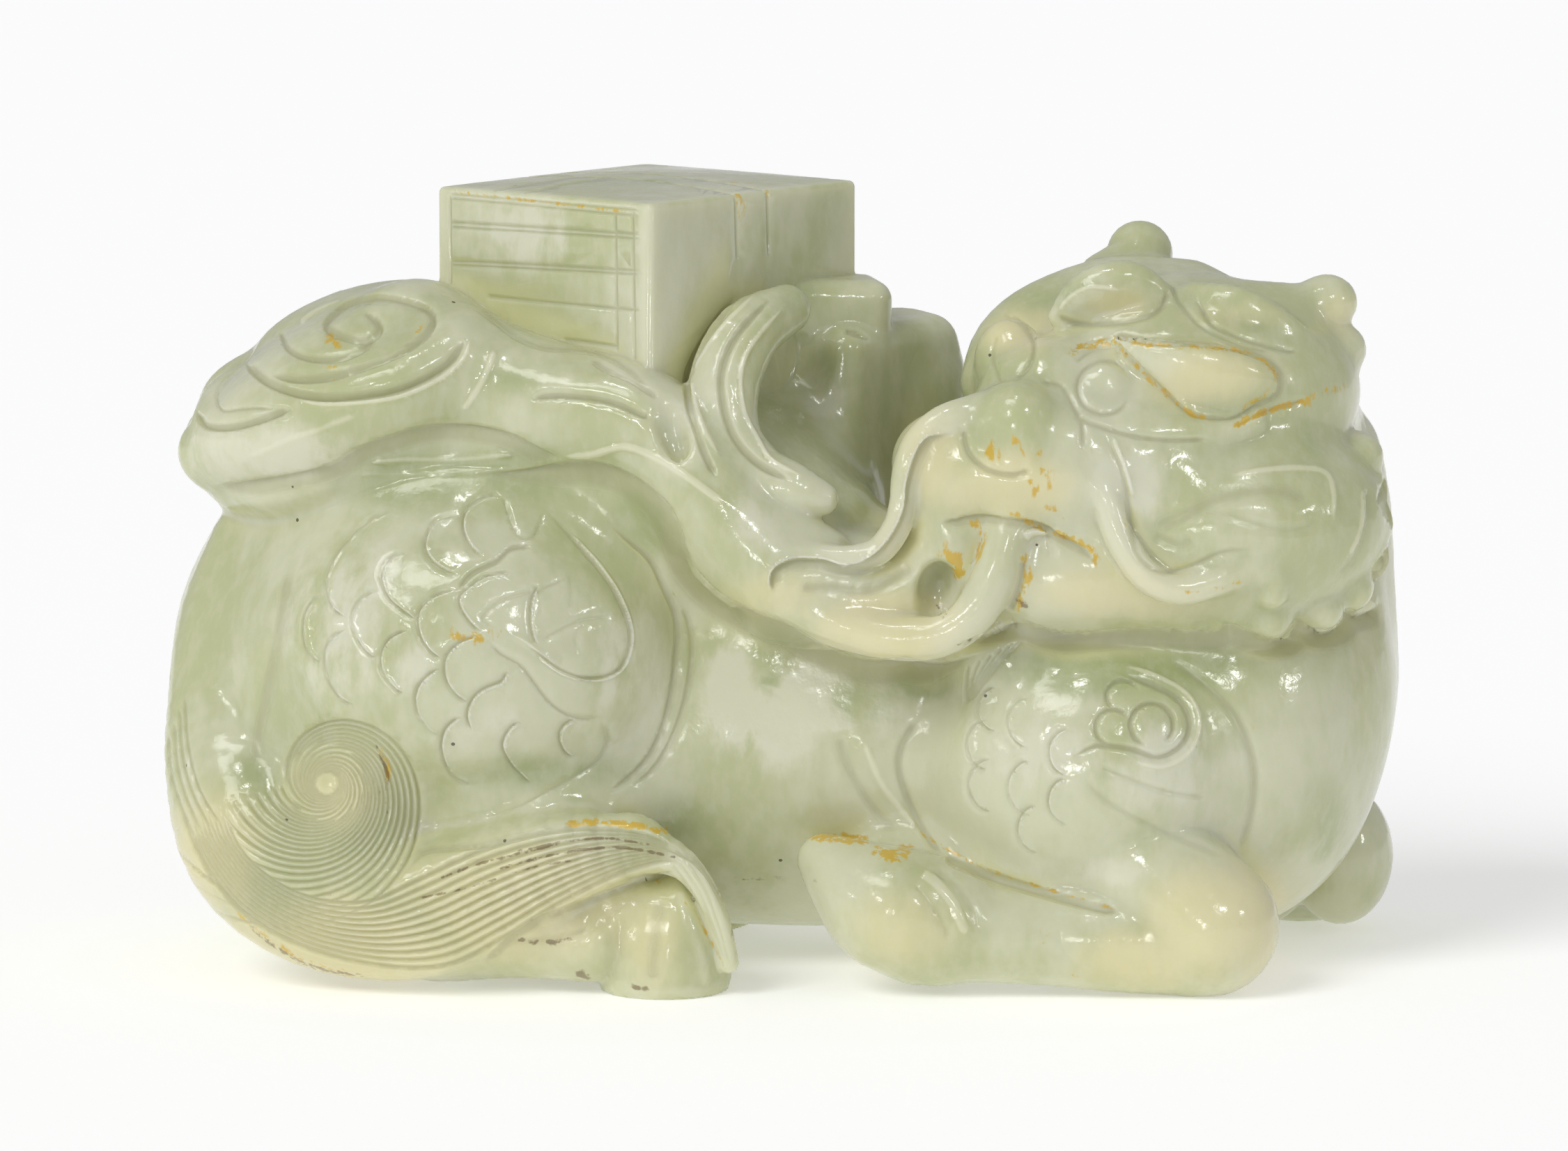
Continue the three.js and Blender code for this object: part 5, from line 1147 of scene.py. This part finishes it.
def tint_group():
    """The group "tint where": the share is value x (1 + (noise - 0.5) x ragged), through a soft step, times
    strength. The noise is drawn out upwards, as the streaks in the stone are."""
    group = bpy.data.node_groups.new("tint where", "ShaderNodeTree")
    socket(group, "Color", "NodeSocketColor", "INPUT")
    socket(group, "Tint", "NodeSocketColor", "INPUT")
    socket(group, "Value", "NodeSocketFloat", "INPUT", 0.0)
    socket(group, "Ragged", "NodeSocketFloat", "INPUT", 0.5)
    socket(group, "Scale", "NodeSocketFloat", "INPUT", 200.0)
    socket(group, "Strength", "NodeSocketFloat", "INPUT", 1.0)
    socket(group, "Color", "NodeSocketColor", "OUTPUT")
    nodes, links = group.nodes, group.links
    given, result = nodes.new("NodeGroupInput"), nodes.new("NodeGroupOutput")
    place = nodes.new("ShaderNodeTexCoord")
    upright = nodes.new("ShaderNodeMapping")
    upright.inputs["Scale"].default_value = UPRIGHT
    noise = nodes.new("ShaderNodeTexNoise")
    noise.inputs["Detail"].default_value = 5
    noise.inputs["Roughness"].default_value = 0.6
    links.new(place.outputs["Object"], upright.inputs["Vector"])
    links.new(upright.outputs["Vector"], noise.inputs["Vector"])
    links.new(given.outputs["Scale"], noise.inputs["Scale"])
    centred = math_node(group, "SUBTRACT", noise.outputs[0], 0.5)
    swing = math_node(group, "MULTIPLY_ADD", centred, given.outputs["Ragged"], 1.0)
    moved = math_node(group, "MULTIPLY", swing, given.outputs["Value"])
    step = nodes.new("ShaderNodeMapRange")
    step.interpolation_type = "SMOOTHSTEP"
    step.inputs["From Min"].default_value = SHARE_STARTS
    step.inputs["From Max"].default_value = SHARE_ENDS
    links.new(moved, step.inputs["Value"])
    share = math_node(group, "MULTIPLY", step.outputs["Result"], given.outputs["Strength"])
    mix = nodes.new("ShaderNodeMix")
    mix.data_type = "RGBA"
    links.new(share, mix.inputs["Factor"])
    links.new(given.outputs["Color"], mix.inputs["A"])
    links.new(given.outputs["Tint"], mix.inputs["B"])
    links.new(mix.outputs["Result"], result.inputs["Color"])
    return group


tint_where = tint_group()
print("the group tint where has", len(tint_where.nodes), "nodes")

# %% The jade material
CELADON = (0.515, 0.540, 0.310, 1)
CLOUD = (0.710, 0.710, 0.560, 1)
# The darker green of the green spots: the stone's green, and painted shade under overhangs.
DEEP_GREEN_AND_SHADE = (0.360, 0.415, 0.195, 1)
# A lighter yellow mixed into the hollows: a painted glow for light caught between the carving's walls.
PAINTED_GLOW = (0.740, 0.730, 0.430, 1)
# A pale tint on the raised ridges: a painted highlight along the rims of the carving.
RIDGE_HIGHLIGHT = (0.800, 0.790, 0.610, 1)
CREAM_SKIN = (0.760, 0.700, 0.430, 1)
RIND = (0.640, 0.420, 0.020, 1)
SOIL_BROWN = (0.170, 0.105, 0.030, 1)
# A dark grey-green laid into the grooves and beside the walls of the edges: painted shade.
GROOVE_SHADE = (0.300, 0.290, 0.140, 1)
SPECK = (0.060, 0.040, 0.015, 1)

# Each tint in its order: the tone, a value on the vertices or one share for all, how ragged it is, the scale
# of its noise for each metre, and its strength.
TINTS = [
    (CLOUD, 0.46, 7.0, 60.0, 0.6),
    (CLOUD, "pale", 4.0, 220.0, 0.9),
    # the green spots: the stone's green, and painted shade under overhangs
    (DEEP_GREEN_AND_SHADE, "green_and_shade", 3.0, 120.0, 0.7),
    (CLOUD, 0.4, 5.0, 700.0, 0.2),
    (CREAM_SKIN, "cream", 1.8, 100.0, 0.75),
    # painted glow in the hollows
    (PAINTED_GLOW, "recess", 0.4, 150.0, 0.6),
    # painted glow on thin rims
    (CLOUD, "thin", 1.0, 150.0, 0.6),
    # painted shade in the grooves
    (GROOVE_SHADE, "groove", 0.8, 700.0, 0.32),
    # painted highlight on the ridges
    (RIDGE_HIGHLIGHT, "ridge", 0.8, 700.0, 0.4),
    (RIND, "stain", 6.0, 1500.0, 0.85),
    (SOIL_BROWN, "soil", 7.0, 1100.0, 0.7),
]
SPECKS_A_METRE = 197
SPECK_SIZE, SPECK_RARITY, SPECK_SHARE = 0.04, 0.7, 0.85
POLISH_SCALE, POLISH_RANGE, POLISH_LEAST, GROOVE_DULLNESS = 160, 0.16, 0.08, 0.25
WAVE_SCALE, WAVE_SHARE, WAVE_HEIGHT = 260, 0.6, 0.0003
NEPHRITE_IOR = 1.61
GLOW_SHARE, GLOW_COLORS, GLOW_DEPTH = 0.6, (1.0, 0.95, 0.6), 0.003


def jade():
    """The stone: tints mixed one after another into celadon, with scattering inside and a waxy polish."""
    material = bpy.data.materials.new("celadon jade")
    material.use_nodes = True
    tree = material.node_tree
    nodes, links = tree.nodes, tree.links
    shader = nodes["Principled BSDF"]

    def read(name):
        node = nodes.new("ShaderNodeAttribute")
        node.attribute_name = name
        return node.outputs["Fac"]

    def tint(color, tone, value, ragged, scale, strength):
        node = nodes.new("ShaderNodeGroup")
        node.node_tree = tint_where
        if isinstance(color, tuple):
            node.inputs["Color"].default_value = color
        else:
            links.new(color, node.inputs["Color"])
        node.inputs["Tint"].default_value = tone
        if isinstance(value, float):
            node.inputs["Value"].default_value = value
        else:
            links.new(value, node.inputs["Value"])
        for name, number in (("Ragged", ragged), ("Scale", scale), ("Strength", strength)):
            node.inputs[name].default_value = number
        return node.outputs["Color"]

    place = nodes.new("ShaderNodeTexCoord")
    color = CELADON
    for tone, value, ragged, scale, strength in TINTS:
        color = tint(color, tone, read(value) if isinstance(value, str) else value, ragged, scale, strength)
    cells = nodes.new("ShaderNodeTexVoronoi")
    cells.inputs["Scale"].default_value = SPECKS_A_METRE
    links.new(place.outputs["Object"], cells.inputs["Vector"])
    tiny = math_node(tree, "LESS_THAN", cells.outputs["Distance"], SPECK_SIZE)
    rare = nodes.new("ShaderNodeSeparateColor")
    links.new(cells.outputs["Color"], rare.inputs["Color"])
    some = math_node(tree, "GREATER_THAN", rare.outputs[0], SPECK_RARITY)
    specks = math_node(tree, "MULTIPLY", tiny, some)
    color = tint(color, SPECK, specks, 0.0, 100.0, SPECK_SHARE)
    links.new(color, shader.inputs["Base Color"])

    polish = nodes.new("ShaderNodeTexNoise")
    polish.inputs["Scale"].default_value = POLISH_SCALE
    polish.inputs["Detail"].default_value = 4
    links.new(place.outputs["Object"], polish.inputs["Vector"])
    dull = math_node(tree, "MULTIPLY_ADD", polish.outputs[0], POLISH_RANGE, POLISH_LEAST)
    dull = math_node(tree, "MULTIPLY_ADD", read("groove"), GROOVE_DULLNESS, dull)
    links.new(dull, shader.inputs["Roughness"])
    wave = nodes.new("ShaderNodeTexNoise")
    wave.inputs["Scale"].default_value = WAVE_SCALE
    wave.inputs["Detail"].default_value = 5
    links.new(place.outputs["Object"], wave.inputs["Vector"])
    bump = nodes.new("ShaderNodeBump")
    bump.inputs["Strength"].default_value = WAVE_SHARE
    bump.inputs["Distance"].default_value = WAVE_HEIGHT
    links.new(wave.outputs[0], bump.inputs["Height"])
    links.new(bump.outputs["Normal"], shader.inputs["Normal"])
    shader.inputs["IOR"].default_value = NEPHRITE_IOR
    shader.inputs["Subsurface Weight"].default_value = GLOW_SHARE
    shader.inputs["Subsurface Radius"].default_value = GLOW_COLORS
    shader.inputs["Subsurface Scale"].default_value = GLOW_DEPTH
    return material


stone.data.materials.clear()
stone.data.materials.append(jade())
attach(stone, "root")
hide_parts(STONE)
print("the stone has", len(stone.data.materials[0].node_tree.nodes), "nodes in its material")

# %% [markdown]
# ## The studio
# The stone stands on a white table. Most of the light comes from all round, as in a light tent, so shadows
# are soft and the white stays white. One large lamp from the upper left gives the forms their turn, and a
# few small ones only put sharp highlights on the polish.

# %% Floor, lamps and sky
WINDOW = 28
FLOOR_SIZE = 12
FLOOR_WHITE, FLOOR_LIGHT = (0.93, 0.93, 0.935, 1), 0.305
TENT_LIGHT, PAPER_LIGHT = 0.46, 1.0
FLOOR_DROP, FLOOR_ROUGHNESS, FLOOR_SPECULAR = 0.02, 0.9, 0.1
AIM = np.array([0, 0, 0.03])
GLINT_SIZE, SHEEN_SIZE = (0.045, 0.045), (0.35, 0.2)
GLINTS = [
    ("glint_left", (-0.30, -0.75, 0.45), 0.5),
    ("glint_right", (0.35, -0.70, 0.50), 0.5),
    ("glint_top", (-0.05, -0.30, 0.85), 0.5),
    ("glint_low", (-0.10, -0.85, 0.12), 0.3),
    ("glint_far_left", (-0.75, -0.45, 0.30), 0.2),
    ("glint_far_right", (0.75, -0.40, 0.35), 0.4),
]


def flat_floor(size):
    """A square of that size in metres just below the stone, as one face."""
    half = size / 2 / MM
    corners = np.array([(x * half, y * half, -FLOOR_DROP) for x, y in ((-1, -1), (1, -1), (1, 1), (-1, 1))])
    floor = mesh_object("studio_floor", corners, np.array([[0, 1, 2, 3]]))
    material = bpy.data.materials.new("white table")
    material.use_nodes = True
    shader = material.node_tree.nodes["Principled BSDF"]
    shader.inputs["Base Color"].default_value = FLOOR_WHITE
    shader.inputs["Emission Color"].default_value = (1.0, 1.0, 1.0, 1)
    shader.inputs["Emission Strength"].default_value = FLOOR_LIGHT
    shader.inputs["Roughness"].default_value = FLOOR_ROUGHNESS
    shader.inputs["Specular IOR Level"].default_value = FLOOR_SPECULAR
    floor.data.materials.append(material)
    return floor


def lamp(name, at, power, size=None):
    """A lamp at a point in metres, aimed at the middle of the stone: an area lamp of that size, or without a
    size a far one, as wide as a window and the same everywhere."""
    data = bpy.data.lights.new(name, "AREA" if size else "SUN")
    if size:
        data.shape = "RECTANGLE"
        data.size, data.size_y = size
    else:
        data.angle = math.radians(WINDOW)
    data.energy = power
    made = bpy.data.objects.new(name, data)
    made.location = at
    way = AIM - np.array(at)
    down = math.acos(-way[2] / np.linalg.norm(way))
    made.rotation_euler = (down, 0, math.atan2(way[1], way[0]) - math.pi / 2)
    made.visible_glossy = size is not None
    made.visible_diffuse = size is None
    bpy.context.scene.collection.objects.link(made)
    return made


flat_floor(FLOOR_SIZE)
lamp("window", (-0.45, -0.55, 0.60), 1.3)
for name, at, power in GLINTS:
    lamp(name, at, power, GLINT_SIZE)
lamp("sheen", (-0.25, -0.45, 0.75), 1.0, SHEEN_SIZE)
sky = bpy.data.worlds.new("light tent")
sky.use_nodes = True
tree = sky.node_tree
tent = tree.nodes["Background"]
tent.inputs["Color"].default_value = (1.0, 1.0, 1.0, 1)
tent.inputs["Strength"].default_value = TENT_LIGHT
paper = tree.nodes.new("ShaderNodeBackground")
paper.inputs["Color"].default_value = (1.0, 1.0, 1.0, 1)
paper.inputs["Strength"].default_value = PAPER_LIGHT
shown = tree.nodes.new("ShaderNodeMixShader")
tree.links.new(tree.nodes.new("ShaderNodeLightPath").outputs["Is Camera Ray"], shown.inputs["Fac"])
tree.links.new(tent.outputs["Background"], shown.inputs[1])
tree.links.new(paper.outputs["Background"], shown.inputs[2])
tree.links.new(shown.outputs["Shader"], tree.nodes["World Output"].inputs["Surface"])
bpy.context.scene.world = sky
bpy.context.scene.view_settings.view_transform = "Standard"
